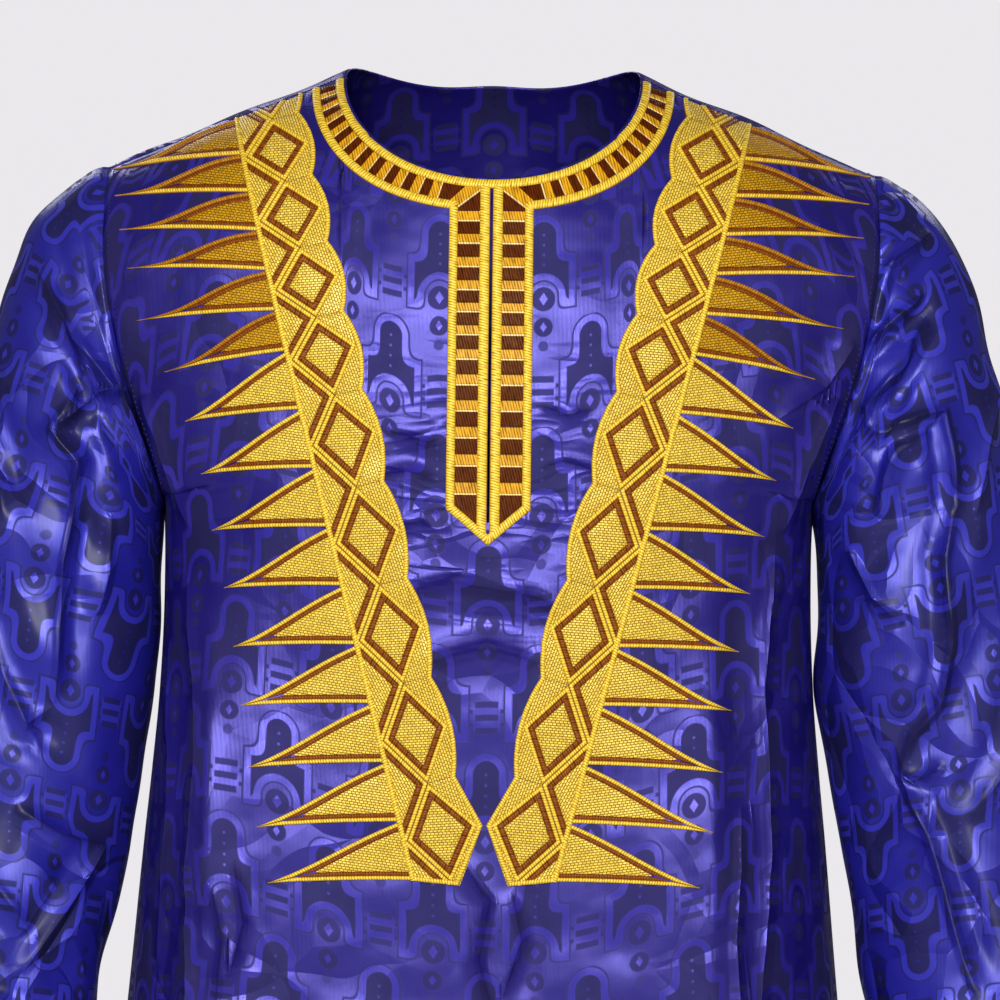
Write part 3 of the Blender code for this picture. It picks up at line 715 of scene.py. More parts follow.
front_cloth = cut_sheet("front_cloth", front_points, front_u, front_v, body_damask,
                        (front_side, front_rise * fade), skip=in_slit, turned=True)
give_body(front_cloth, FACE_CLOTH)
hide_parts("front_panel")
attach(front_cloth, "root")

# Back panel. The same cloth in one piece, a little higher at the neck, which hangs from the shoulder
# blades in soft folds and joins the front at the shoulders and down both sides.
BACK_CREASES = (
    (0.0034, 0.0110, 1, ((-0.190, -0.170), (-0.150, -0.230), (-0.080, -0.280), (-0.020, -0.300))),
    (0.0032, 0.0110, -1, ((0.195, -0.165), (0.150, -0.220), (0.090, -0.262), (0.030, -0.290))),
    (0.0028, 0.0100, 1, ((-0.120, -0.330), (-0.030, -0.352), (0.060, -0.345), (0.120, -0.325))),
    (0.0026, 0.0090, -1, ((-0.100, -0.400), (-0.010, -0.415), (0.090, -0.402))),
    (0.0034, 0.0110, 1, ((-0.176, -0.300), (-0.168, -0.420), (-0.176, -0.560), (-0.170, -0.700))),
    (0.0034, 0.0110, -1, ((0.178, -0.290), (0.166, -0.430), (0.174, -0.580), (0.168, -0.720))),
    (0.0030, 0.0110, 1, ((-0.070, -0.450), (-0.076, -0.560), (-0.066, -0.690), (-0.074, -0.820))),
    (0.0030, 0.0110, -1, ((0.060, -0.440), (0.068, -0.570), (0.058, -0.700), (0.066, -0.820))),
    (0.0020, 0.0080, 1, ((0.000, -0.470), (-0.006, -0.560), (0.004, -0.650))),
    (0.0020, 0.0070, 1, ((-0.110, -0.090), (-0.060, -0.110), (-0.010, -0.105))),
    (0.0020, 0.0070, -1, ((0.120, -0.085), (0.070, -0.112), (0.020, -0.120))),
)
back_smooth = body_points(False, panel_shares, panel_rows)
back_lift, back_side, back_rise = creases(back_smooth, BACK_CREASES)
back_lift += crumple(back_smooth, 11, 0.075, 0.0012) * soft_step(0.0, 0.05, panel_rows)
back_points = back_smooth - out_of(back_smooth) * (back_lift * fade)[..., None]
back_u, back_v = lay_out(back_points, MIDDLE, UNDERARM_ROW)
back_area = flat_area(back_points)
back_cloth = cut_sheet("back_cloth", back_points, back_u, back_v, body_damask, (back_side, back_rise * fade))
give_body(back_cloth, FACE_CLOTH)
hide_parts("back_panel")
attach(back_cloth, "root")

# Sleeves. Each is one piece of the cloth sewn to a tube and set into the armhole. It hangs from the
# shoulder and keeps the sharp zigzag creases of a stiff cloth that was folded and then worn.

# Share along it, x and z of its outer line, z of its inner line and that line's distance from the
# body, half depth, y of its middle
SLEEVE = (
    (0.00, 0.2300, -0.0464, -0.2445, 0.0000, 0.0660, 0.000),
    (0.10, 0.2540, -0.0570, -0.2620, 0.0020, 0.0680, 0.000),
    (0.20, 0.2730, -0.0765, -0.2850, 0.0024, 0.0695, 0.000),
    (0.30, 0.2880, -0.1090, -0.3150, 0.0026, 0.0700, -0.001),
    (0.40, 0.3035, -0.1600, -0.3480, 0.0028, 0.0695, -0.002),
    (0.50, 0.3200, -0.2250, -0.3850, 0.0034, 0.0685, -0.004),
    (0.60, 0.3350, -0.3050, -0.4280, 0.0060, 0.0665, -0.008),
    (0.70, 0.3460, -0.3900, -0.4780, 0.0108, 0.0640, -0.014),
    (0.80, 0.3520, -0.4800, -0.5330, 0.0150, 0.0610, -0.023),
    (0.90, 0.3530, -0.5650, -0.5870, 0.0180, 0.0580, -0.033),
    (1.00, 0.3500, -0.6480, -0.6400, 0.0205, 0.0545, -0.044),
)
# Along, round from the shoulder, slant, width, span and depth of the broad folds
SLEEVE_FOLDS = (
    (0.22, 1.35, 0.10, 0.035, 0.70, 0.0030),
    (0.38, 1.70, -0.08, 0.035, 0.80, 0.0035),
    (0.50, 1.10, 0.07, 0.030, 0.60, -0.0030),
    (0.60, 1.75, 0.06, 0.032, 0.75, 0.0040),
    (0.72, 1.20, -0.06, 0.030, 0.70, 0.0035),
    (0.84, 1.60, 0.05, 0.030, 0.80, -0.0030),
    (0.35, 4.60, 0.06, 0.035, 0.80, 0.0030),
    (0.57, 4.40, -0.05, 0.032, 0.80, 0.0035),
    (0.76, 4.80, 0.05, 0.032, 0.80, 0.0030),
)
RIGHT_CREASES = (
    (0.0034, 0.0070, 1, ((-0.2701, -0.1085), (-0.2483, -0.1463), (-0.2308, -0.1697), (-0.2126, -0.1960),
                         (-0.1990, -0.2330))),
    (0.0032, 0.0052, -1, ((-0.2383, -0.1715), (-0.2467, -0.1906), (-0.2569, -0.2069), (-0.2417, -0.2246),
                          (-0.2431, -0.2476), (-0.2496, -0.2846), (-0.2505, -0.3082), (-0.2520, -0.3301),
                          (-0.2533, -0.3670))),
    (0.0020, 0.0045, 1, ((-0.2569, -0.2069), (-0.2300, -0.1840), (-0.2150, -0.1790))),
    (0.0022, 0.0060, 1, ((-0.2230, -0.2560), (-0.2245, -0.2900), (-0.2300, -0.3150))),
    (0.0030, 0.0060, -1, ((-0.2756, -0.4277), (-0.2500, -0.4440), (-0.2258, -0.4514))),
    (0.0030, 0.0060, 1, ((-0.2258, -0.4514), (-0.2456, -0.4862), (-0.2700, -0.5250))),
    (0.0024, 0.0060, 1, ((-0.2950, -0.3100), (-0.2850, -0.3500), (-0.2700, -0.3800), (-0.2560, -0.3700))),
    (0.0022, 0.0060, -1, ((-0.3050, -0.1800), (-0.2900, -0.2200), (-0.2850, -0.2600))),
    (0.0026, 0.0070, 1, ((-0.3150, -0.4400), (-0.2950, -0.4650), (-0.2650, -0.5000))),
    (0.0026, 0.0070, -1, ((-0.3300, -0.5200), (-0.2900, -0.5450), (-0.2500, -0.5600))),
    (0.0026, 0.0070, 1, ((-0.3350, -0.5900), (-0.3000, -0.6050), (-0.2600, -0.6000))),
)
LEFT_CREASES = (
    (0.0034, 0.0065, -1, ((0.2619, -0.0817), (0.2299, -0.1074), (0.2160, -0.1400))),
    (0.0036, 0.0050, 1, ((0.2140, -0.1460), (0.2235, -0.1489), (0.2332, -0.1396), (0.2554, -0.1203))),
    (0.0034, 0.0050, -1, ((0.2585, -0.1364), (0.2438, -0.1614), (0.2222, -0.1870), (0.2224, -0.1996))),
    (0.0034, 0.0050, 1, ((0.2222, -0.1990), (0.2299, -0.2030), (0.2534, -0.1924), (0.2677, -0.1893),
                         (0.2720, -0.2100), (0.2760, -0.2480))),
    (0.0024, 0.0055, -1, ((0.2592, -0.2009), (0.2404, -0.2115), (0.2342, -0.2295), (0.2300, -0.2520))),
    (0.0034, 0.0052, 1, ((0.2760, -0.2400), (0.2687, -0.2763), (0.2728, -0.3247), (0.2696, -0.3472),
                         (0.2663, -0.3645), (0.2515, -0.3802), (0.2437, -0.4033))),
    (0.0032, 0.0060, -1, ((0.2437, -0.4033), (0.2508, -0.4188), (0.2608, -0.4383), (0.2692, -0.4670),
                          (0.2812, -0.5106), (0.2878, -0.5296))),
    (0.0020, 0.0045, 1, ((0.2437, -0.4033), (0.2581, -0.4049), (0.2700, -0.3990))),
    (0.0022, 0.0060, 1, ((0.2130, -0.2700), (0.2280, -0.3000), (0.2450, -0.3150))),
    (0.0022, 0.0060, -1, ((0.3050, -0.1700), (0.2950, -0.2100), (0.2880, -0.2500))),
    (0.0024, 0.0070, 1, ((0.3200, -0.3600), (0.3050, -0.4000), (0.2850, -0.4300))),
    (0.0026, 0.0070, -1, ((0.3350, -0.5400), (0.3000, -0.5550), (0.2600, -0.5400))),
    (0.0026, 0.0070, 1, ((0.3380, -0.6000), (0.3050, -0.6150), (0.2700, -0.6020))),
)
SLEEVE_BACK_CREASES = (
    (0.0034, 0.0080, 1, ((-0.2700, -0.1150), (-0.2450, -0.1600), (-0.2200, -0.2050))),
    (0.0034, 0.0070, -1, ((-0.2850, -0.1900), (-0.2600, -0.2400), (-0.2500, -0.2900), (-0.2560, -0.3500))),
    (0.0032, 0.0070, 1, ((-0.3100, -0.3000), (-0.2800, -0.3350), (-0.2450, -0.3500))),
    (0.0032, 0.0070, -1, ((-0.3250, -0.3900), (-0.2950, -0.4200), (-0.2500, -0.4350))),
    (0.0030, 0.0070, 1, ((-0.3300, -0.4700), (-0.2900, -0.5000), (-0.2450, -0.5000))),
    (0.0028, 0.0070, -1, ((-0.3350, -0.5600), (-0.2950, -0.5800), (-0.2550, -0.5850))),
)
SLEEVE_ROWS = 216
HALF_RING = 50
BACK_RING = 56
UNDERARM_X = float(follow(BODY, 1, np.array(UNDERARM_Z)))
FIRST_BACK_ROW = 1.0 / 6.0


def sleeve_points(side, along, ring):
    """The sleeve's outer face.

    A ring place runs from 0, under the arm, up the front to 1 at the seam, and down the back to 2,
    under the arm again.
    """
    along, ring = np.broadcast_arrays(along, ring)
    front = ring <= 1.0
    row = np.where(front, 2.0 - 2.0 * ring, 2.0 * ring - 2.0)
    near = armhole_round(row)
    top = float(armhole_round(np.array(0.0)))
    joined = float(armhole_round(np.array(FIRST_BACK_ROW)))
    over = -top + (joined + top) * row / FIRST_BACK_ROW
    back_angle = np.where(row < FIRST_BACK_ROW, over, near)
    round_angle = np.where(front, near, back_angle)
    facing = np.where(front, -1.0, 1.0)
    inner_z = follow(SLEEVE, 3, along)
    inner_x = follow(BODY, 1, inner_z) + follow(SLEEVE, 4, along)
    outer_x = follow(SLEEVE, 1, along)
    outer_z = follow(SLEEVE, 2, along)
    centre_y = follow(SLEEVE, 6, along)
    upper = (1.0 + np.cos(round_angle)) / 2.0
    x = inner_x + (outer_x - inner_x) * upper
    z = inner_z + (outer_z - inner_z) * upper
    y = centre_y + facing * follow(SLEEVE, 5, along) * np.sin(round_angle)
    edge = np.where(front[..., None], body_points(True, np.array(1.0), row),
                    body_points(False, np.array(1.0), row))
    start = np.stack([
        UNDERARM_X + (SHOULDER_HALF - UNDERARM_X) * upper,
        facing * ARMHOLE_HALF_DEPTH * np.sin(round_angle),
        UNDERARM_Z + (ARM_TOP_Z - UNDERARM_Z) * upper,
    ], axis=-1)
    point = np.stack([x, y, z], axis=-1) + (edge - start) * (1.0 - soft_step(0.0, 0.16, along))[..., None]
    centre = np.stack([(inner_x + outer_x) / 2.0, centre_y, (inner_z + outer_z) / 2.0], axis=-1)
    outward = point - centre
    outward = outward / np.linalg.norm(outward, axis=-1, keepdims=True)
    turn = np.where(front, round_angle, 2.0 * math.pi - round_angle)
    for fold_along, fold_round, slant, width, span, depth in SLEEVE_FOLDS:
        off = (turn - fold_round + math.pi) % (2.0 * math.pi) - math.pi
        place = (along - fold_along - slant * off) / width
        reach = np.exp(-(place ** 2) - (off / span) ** 2) * soft_step(0.02, 0.14, along)
        point = point - outward * (depth * reach)[..., None]
    return point * np.array([side, 1.0, 1.0])


def lay_tube(points, middle):
    """Where a tube's points lie on the flat cloth, in metres from the top of one of its columns.

    The rings slant, so each step round is split into its way across the columns and along them.
    """
    down = np.gradient(points, axis=0)
    down = down[:, :-1] + down[:, 1:]
    down = down / np.maximum(np.linalg.norm(down, axis=-1, keepdims=True), 1e-12)
    step = np.diff(points, axis=1)
    along = (step * down).sum(axis=-1)
    across = np.sqrt(np.maximum((step ** 2).sum(axis=-1) - along ** 2, 0.0))
    start = np.zeros((len(points), 1))
    u = np.concatenate([start, np.cumsum(across, axis=1)], axis=1)
    v = np.concatenate([start, np.cumsum(along, axis=1)], axis=1)
    run = np.linalg.norm(np.diff(points[:, middle], axis=0), axis=-1)
    run = np.concatenate([[0.0], np.cumsum(run)])[:, None]
    return u - u[:, middle:middle + 1], v - v[:, middle:middle + 1] + run


sleeve_ring = np.concatenate([np.linspace(0.0, 1.0, 2 * HALF_RING + 1),
                              np.linspace(1.0, 2.0, BACK_RING + 1)[1:]])[None, :]
sleeve_along = np.linspace(0.0, 1.0, SLEEVE_ROWS + 1)[:, None]
sleeve_faces = {}
for side, name, table, back_flip in ((-1.0, "sleeve_right", RIGHT_CREASES, 1.0),
                                     (1.0, "sleeve_left", LEFT_CREASES, -1.0)):
    smooth = sleeve_points(side, sleeve_along, sleeve_ring)
    forward = soft_step(-0.010, -0.030, smooth[..., 1])
    rearward = soft_step(0.005, 0.025, smooth[..., 1])
    back_table = [(height, width, lean, [(x * back_flip, z) for x, z in path])
                  for height, width, lean, path in SLEEVE_BACK_CREASES]
    lift, fold_side, fold_rise = creases(smooth, table)
    back_lift, back_side, back_rise = creases(smooth, back_table)
    lift = lift * forward + back_lift * rearward
    fold_side = np.where(forward > 0.0, fold_side, back_side)
    fold_rise = (fold_rise * forward + back_rise * rearward) * soft_step(0.0, 0.05, sleeve_along)
    lift = lift + crumple(smooth, 21 + int(side), 0.070, 0.0015)
    lift = lift * soft_step(0.0, 0.05, sleeve_along)
    lift = lift + 0.0013 * soft_step(0.0, 0.018, sleeve_along) * soft_step(0.075, 0.030, sleeve_along)
    ring_out = out_of(smooth[:, :-1], closed=True)
    ring_out = np.concatenate([ring_out, ring_out[:, :1]], axis=1) * side
    points = smooth + ring_out * lift[..., None]
    sleeve_faces[name] = (points, ring_out)
    u, v = lay_tube(smooth, 2 * HALF_RING)
    area = flat_area(points)
    piece = cut_sheet(name + "_cloth", points, u, v, sleeve_damask, (fold_side, fold_rise), turned=side > 0)
    with opened(piece) as work:
        bmesh.ops.remove_doubles(work, verts=work.verts[:], dist=1e-6)
    give_body(piece, FACE_CLOTH)
    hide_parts(name)
    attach(piece, "root")

# The gold embroidery, of polyester thread. Satin stitches cross each narrow border from edge to edge,
# and rows of short stitches fill the wide places. Threads of one group run along its own UV.
satin, given, wanted = new_group("satin_stitches", ("Pitch", "Slant", "Low"), ("Colour", "Shadow"),
                                 ("Colour", "Height"))
lie = satin.nodes.new("ShaderNodeSeparateXYZ")
wire(satin.nodes.new("ShaderNodeTexCoord").outputs["UV"], lie.inputs[0])
pitches = (Sum(lie.outputs["X"]) + Sum(lie.outputs["Y"]) * given["Slant"]) / given["Pitch"]
thread_place = satin.nodes.new("ShaderNodeCombineXYZ")
wire(pitches, thread_place.inputs[0])
wire(Sum(lie.outputs["Y"]) * 120.0, thread_place.inputs[1])
thread = Sum(noise(thread_place.outputs[0], 1.0, 1.5, 0.6).outputs["Fac"])
strand = thread * 0.7 + abs(reckon("SINE", pitches * math.pi)) * 0.3
# Painted shade: where the threads dip between one another they take the shadow colour.
shade = ((0.66 - strand).clamped() * 2.8).clamped()
# Painted shade: the low edges of each piece, where it meets the cloth, take the shadow colour too.
low_edge_shade = below(read(satin, "rise") / given["Low"], 1.0, 0.7)
shade = most(shade, low_edge_shade * 0.97)
wire(mixed(shade, given["Colour"], given["Shadow"]), wanted["Colour"])
wire(strand * 0.00045, wanted["Height"])

filling, given, wanted = new_group("filling_stitches", (), ("Colour", "Shadow"), ("Colour", "Height"))
brick = filling.nodes.new("ShaderNodeTexBrick")
wire(filling.nodes.new("ShaderNodeTexCoord").outputs["UV"], brick.inputs["Vector"])
brick.offset = 0.37
for label, value in (
    ("Color1", (1.0, 1.0, 1.0, 1.0)), ("Color2", (0.62, 0.62, 0.62, 1.0)), ("Mortar", (0.0, 0.0, 0.0, 1.0)),
    ("Scale", 1.0), ("Mortar Size", 0.00030), ("Mortar Smooth", 1.0), ("Brick Width", 0.0023),
    ("Row Height", 0.00150),
):
    brick.inputs[label].default_value = value
# Painted shade: the gaps between stitches and the low edges of each piece take the shadow colour, and some
# stitches are a little darker.
shade = (1.0 - Sum(brick.outputs["Color"])) * 0.90
shade = most(shade, below(read(filling, "rise"), 0.00035, 0.00030) * 0.9)
wire(mixed(shade, given["Colour"], given["Shadow"]), wanted["Colour"])
wire((1.0 - Sum(brick.outputs["Fac"])) * 0.00045, wanted["Height"])


def thread_finish(name, colour, shadow, group, gloss=0.45, low=0.0009):
    """A thread's material, with its colour and a darker colour for painted shade. Satin takes that painted
    shade where it lies under its low height.
    """
    material, tree, shader = new_material(name)
    stitches = tree.nodes.new("ShaderNodeGroup")
    stitches.node_tree = group
    wire((*colour, 1.0), stitches.inputs["Colour"])
    wire((*shadow, 1.0), stitches.inputs["Shadow"])
    if group is satin:
        stitches.inputs["Pitch"].default_value = 0.0016
        stitches.inputs["Slant"].default_value = 0.25
        stitches.inputs["Low"].default_value = low
    wire(stitches.outputs["Colour"], shader.inputs["Base Color"])
    bump_with(stitches.outputs["Height"], shader)
    shader.inputs["Roughness"].default_value = 0.33
    shader.inputs["Specular IOR Level"].default_value = gloss
    shader.inputs["Specular Tint"].default_value = (1.0, 0.80, 0.42, 1.0)
    return material


GOLD_SATIN, BROWN_SATIN, GOLD_FILL, OCHRE_FILL, BRONZE_SATIN, DARK_BLOCK, OCHRE_BLOCK, PALE_LINE = range(8)
# Each thread: its colour, the colour of its painted shade, its stitches, its gloss and the height under
# which satin is shaded.
threads = (
    thread_finish("gold_satin", (1.0, 0.70, 0.055), (0.24, 0.078, 0.002), satin, 0.60),
    thread_finish("brown_satin", (0.25, 0.060, 0.006), (0.035, 0.007, 0.001), satin, 0.20, 0.0003),
    thread_finish("gold_filling", (1.0, 0.70, 0.085), (0.18, 0.055, 0.001), filling, 0.55),
    thread_finish("ochre_filling", (0.66, 0.34, 0.010), (0.10, 0.030, 0.001), filling),
    thread_finish("bronze_satin", (0.50, 0.20, 0.008), (0.08, 0.022, 0.001), satin, 0.35, 0.0007),
    thread_finish("dark_brown_satin", (0.105, 0.018, 0.002), (0.018, 0.003, 0.001), satin, 0.10, 0.0002),
    thread_finish("ochre_satin", (0.78, 0.38, 0.010), (0.13, 0.036, 0.001), satin, 0.35, 0.0002),
    thread_finish("pale_satin", (0.98, 0.78, 0.32), (0.45, 0.22, 0.03), satin, 0.4, 0.0002),
)
BASE_DEPTH = -0.0002
EDGE = 0.0012


def add_threads(piece):
    for material in threads:
        piece.data.materials.append(material)


def satin_strip(name, path, half_width, height, finish_index, step=0.0032):
    """A narrow border of satin stitches: a grid bent along a path, round in section, mitred at corners.

    The half width is one number, or one for each place of a path whose places are close enough.
    """
    places = [Vector(path[0])]
    for first, last in zip(path, path[1:]):
        first = Vector(first)
        last = Vector(last)
        count = max(1, math.ceil((last - first).length / step))
        if not isinstance(half_width, float):
            count = 1
        places += [first.lerp(last, (index + 1) / count) for index in range(count)]
    widths = [half_width] * len(places) if isinstance(half_width, float) else half_width
    widest = max(widths)
    section = ((-1.0, 0.0), (-0.86, 0.62), (-0.45, 0.93), (0.0, 1.0), (0.45, 0.93), (0.86, 0.62), (1.0, 0.0))
    bpy.ops.object.select_all(action="DESELECT")
    bpy.ops.mesh.primitive_grid_add(x_subdivisions=len(section) - 1, y_subdivisions=len(places) - 1,
                                    size=1.0)
    piece = bpy.context.object
    piece.name = name
    run = 0.0
    flat = []
    points = []
    for index, place in enumerate(places):
        ahead = (places[min(index + 1, len(places) - 1)] - place).normalized()
        behind = (place - places[max(index - 1, 0)]).normalized()
        along = (ahead + behind).normalized()
        miter = 1.0 / max(0.35, along.dot(ahead if ahead.length > 0.0 else behind))
        across = Vector((along.y, -along.x))
        if index:
            run += (place - places[index - 1]).length
        width = widths[index]
        for share, rise in section:
            spot = place + across * (share * width * miter)
            points.append((spot.x, spot.y, BASE_DEPTH + rise * height * (0.45 + 0.55 * width / widest)))
            flat.append((run, share * width))
    mesh = piece.data
    mesh.vertices.foreach_set("co", [number for point in points for number in point])
    uv = mesh.uv_layers[0].uv
    for loop in mesh.loops:
        uv[loop.index].vector = flat[loop.vertex_index]
    with opened(piece) as work:
        work.normal_update()
        if sum(face.normal.z for face in work.faces) < 0.0:
            bmesh.ops.reverse_faces(work, faces=work.faces[:])
    add_threads(piece)
    for face in mesh.polygons:
        face.material_index = finish_index
    return piece


def stitched_cells(name, cells, profile):
    """Cells of embroidery: flat outlines raised by insets, one zone of thread inside another.

    A cell is its outline, the turn of its filling, and the finishes of its zones.
    """
    bpy.ops.object.select_all(action="DESELECT")
    parts = []
    for number, (outline, _, _) in enumerate(cells):
        bpy.ops.mesh.primitive_circle_add(vertices=len(outline), radius=0.01, fill_type="NGON")
        part = bpy.context.object
        for vertex, (x, z) in zip(part.data.vertices, outline):
            vertex.co = (x, z, BASE_DEPTH)
        kept = part.data.attributes.new("cell", "INT", "FACE")
        kept.data[0].value = number
        parts.append(part)
    for part in parts:
        part.select_set(True)
    bpy.context.view_layer.objects.active = parts[0]
    bpy.ops.object.join()
    piece = bpy.context.object
    piece.name = name
    with opened(piece) as work:
        work.normal_update()
        bmesh.ops.reverse_faces(work, faces=[face for face in work.faces if face.normal.z < 0.0])
    bpy.ops.object.mode_set(mode="EDIT")
    bpy.ops.mesh.select_all(action="SELECT")
    for thickness, rise in profile:
        bpy.ops.mesh.inset(thickness=thickness, depth=rise, use_individual=True, use_even_offset=True)
    bpy.ops.object.mode_set(mode="OBJECT")
    add_threads(piece)
    if not piece.data.uv_layers:
        piece.data.uv_layers.new(name="UVMap")
    return piece


def cut_fine(piece):
    """Cuts a flat piece into strips both ways, so that it can bend with the cloth."""
    step = 0.0050
    with opened(piece) as work:
        for axis in (0, 1):
            low = min(vertex.co[axis] for vertex in work.verts)
            high = max(vertex.co[axis] for vertex in work.verts)
            place = low + step
            while place < high:
                centre = Vector((0.0, 0.0, 0.0))
                centre[axis] = place
                normal = Vector((0.0, 0.0, 0.0))
                normal[axis] = 1.0
                bmesh.ops.bisect_plane(work, geom=work.verts[:] + work.edges[:] + work.faces[:], dist=1e-7,
                                       plane_co=centre, plane_no=normal)
                place += step


def clip(piece, place, out):
    """Cuts away what lies past a straight line in the flat layout."""
    with opened(piece) as work:
        bmesh.ops.bisect_plane(work, geom=work.verts[:] + work.edges[:] + work.faces[:], dist=1e-7,
                               plane_co=(*place, 0.0), plane_no=(*out, 0.0), clear_outer=True)


def clip_at_seam(piece, side):
    """Ends a flat piece just below the shoulder seam."""
    slope = math.hypot(SEAM_SLOPE, 1.0)
    clip(piece, (0.0, SEAM_TOP - EDGE), (side * SEAM_SLOPE / slope, 1.0 / slope))


def thread_cells(piece, cells, zones):
    """Gives each face of the cells its thread and the way that it runs."""
    mesh = piece.data
    kept = mesh.attributes["cell"].data
    uv = mesh.uv_layers[0].uv
    for face in mesh.polygons:
        outline, turn, finishes = cells[kept[face.index].value]
        centre = face.center
        best = None
        for first, last in zip(outline, outline[1:] + outline[:1]):
            dx = last[0] - first[0]
            dz = last[1] - first[1]
            length = math.hypot(dx, dz)
            share = ((centre.x - first[0]) * dx + (centre.y - first[1]) * dz) / length ** 2
            share = min(1.0, max(0.0, share))
            away = math.dist((centre.x, centre.y), (first[0] + dx * share, first[1] + dz * share))
            if best is None or away < best[0]:
                best = (away, first, dx / length, dz / length)
        away, first, dx, dz = best
        zone = 0
        while zone < len(zones) and away > zones[zone]:
            zone += 1
        face.material_index = finishes[zone]
        for loop in face.loop_indices:
            x, z, _ = mesh.vertices[mesh.loops[loop].vertex_index].co
            if zone == len(zones):
                uv[loop].vector = (x * math.cos(turn) + z * math.sin(turn),
                                   z * math.cos(turn) - x * math.sin(turn))
            else:
                uv[loop].vector = ((x - first[0]) * dx + (z - first[1]) * dz,
                                   (x - first[0]) * dz - (z - first[1]) * dx)


def on_front(x, z):
    """The front panel's surface seen from straight in front, or its nearest point and False."""
    hit = front_face.ray_cast(Vector((x, -1.0, z)), Vector((0.0, 1.0, 0.0)))
    if hit[0] is None:
        return front_face.find_nearest(Vector((x, -0.06, z)))[0], False
    return hit[0], True


def lay_on_cloth(piece, side=1.0):
    """Lays a flat piece on the front panel, with its relief square to the cloth."""
    reach = 0.0030
    mesh = piece.data
    # Each vertex keeps its height above the cloth as rise, which the thread materials read to paint shade on
    # the low edges.
    rises = mesh.attributes.new("rise", "FLOAT", "POINT")
    rises.data.foreach_set("value", [vertex.co.z for vertex in mesh.vertices])
    for vertex in mesh.vertices:
        x = vertex.co.x * side
        z = vertex.co.y
        rise = vertex.co.z
        place = on_front(x, z)[0]
        right = on_front(x + reach, z)
        left = on_front(x - reach, z)
        up = on_front(x, z + reach)
        down = on_front(x, z - reach)
        top = up[0] if up[1] else place
        base = down[0] if down[1] else place
        normal = (right[0] - left[0]).cross(top - base)
        if normal.length > 1e-9:
            normal.normalize()
        else:
            normal = Vector((0.0, -1.0, 0.0))
        vertex.co = place + normal * rise
    if side < 0.0:
        mesh.flip_normals()
    mesh.update()


def finish_embroidery(parts, name, replaced):
    """Joins the parts of one embroidery to a piece and gives it its place in the scene."""
    bpy.ops.object.select_all(action="DESELECT")
    for part in parts:
        part.select_set(True)
    bpy.context.view_layer.objects.active = parts[0]
    bpy.ops.object.join()
    piece = bpy.context.object
    piece.name = name
    bpy.ops.object.shade_smooth_by_angle(angle=math.radians(48.0))
    bpy.ops.object.transform_apply(location=True, rotation=True, scale=True)
    if "cell" in piece.data.attributes:
        piece.data.attributes.remove(piece.data.attributes["cell"])
    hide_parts(replaced)
    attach(piece, "root")
    return piece


# Raised edge of satin, a narrow brown line inside it and the filling
RAISED_EDGE = ((0.00005, 0.0004), (0.0003, 0.0009), (0.0006, 0.0004), (0.0007, 0.0), (0.0006, -0.0004),
               (0.0003, -0.0009))
SUNK_LINE = ((0.0003, 0.0006), (0.0008, 0.0003), (0.0011, 0.0), (0.0006, -0.0003), (0.0003, -0.0006))
FILLED = ((0.0003, 0.0007), (0.0008, 0.0003))
RINGED_ZONES = (0.00255, 0.00565)

# V bands. On each side of the chest a straight line runs down from the shoulder. Diamonds chained
# inside it are edged by scallops, and fifteen spikes point outwards from it.
LINE_TOP = (0.1530, -0.0190)
LINE_FOOT = (0.0406, -0.4642)
DIAMOND_STEPS = (0.0277, 0.0680, 0.1097, 0.1515, 0.2025, 0.2605, 0.3180, 0.3772, 0.4364)
CHAIN = 0.0212
NODE = 0.0020
CREST = 0.0402
LAST_CREST = 0.0432
CHAIN_END = 0.4655
HALF_DIAMOND_PAST = 0.0080
SCALLOP_VALLEY = 0.0375
SCALLOP_CREST = 0.0428
LOBE_UNDER = 0.0015
BAND_POINT = (0.4376, 0.0463)
BAND_CORNER = (0.4688, 0.0253)
SMALL_SPIKES = 6
SMALL_SPIKE_TOP_Z = -0.0205
SMALL_SPIKE_STEP = 0.0233
SPIKE_STEP = 0.0338
SPIKE_TIPS = (
    (0.2262, -0.0492), (0.2237, -0.0670), (0.2194, -0.0880), (0.2134, -0.1112), (0.2071, -0.1419),
    (0.1901, -0.1722), (0.1770, -0.2010), (0.1673, -0.2316), (0.1606, -0.2644), (0.1528, -0.2978),
    (0.1466, -0.3317), (0.1420, -0.3655), (0.1368, -0.4007), (0.1312, -0.4348), (0.1243, -0.4668),
)
line_run = math.hypot(LINE_FOOT[0] - LINE_TOP[0], LINE_FOOT[1] - LINE_TOP[1])
LINE_DOWN = ((LINE_FOOT[0] - LINE_TOP[0]) / line_run, (LINE_FOOT[1] - LINE_TOP[1]) / line_run)
LINE_IN = (LINE_DOWN[1], -LINE_DOWN[0])


def band_place(along, inward):
    return (LINE_TOP[0] + LINE_DOWN[0] * along + LINE_IN[0] * inward,
            LINE_TOP[1] + LINE_DOWN[1] * along + LINE_IN[1] * inward)


def line_x(z):
    return LINE_TOP[0] + (LINE_FOOT[0] - LINE_TOP[0]) * (z - LINE_TOP[1]) / (LINE_FOOT[1] - LINE_TOP[1])


def spike_base_z(index):
    if index <= SMALL_SPIKES:
        return SMALL_SPIKE_TOP_Z - SMALL_SPIKE_STEP * index
    return SMALL_SPIKE_TOP_Z - SMALL_SPIKE_STEP * SMALL_SPIKES - SPIKE_STEP * (index - SMALL_SPIKES)


def run_on(first, last, x):
    """Where a line through two places reaches x."""
    share = (x - first[0]) / (last[0] - first[0])
    return x, first[1] + (last[1] - first[1]) * share


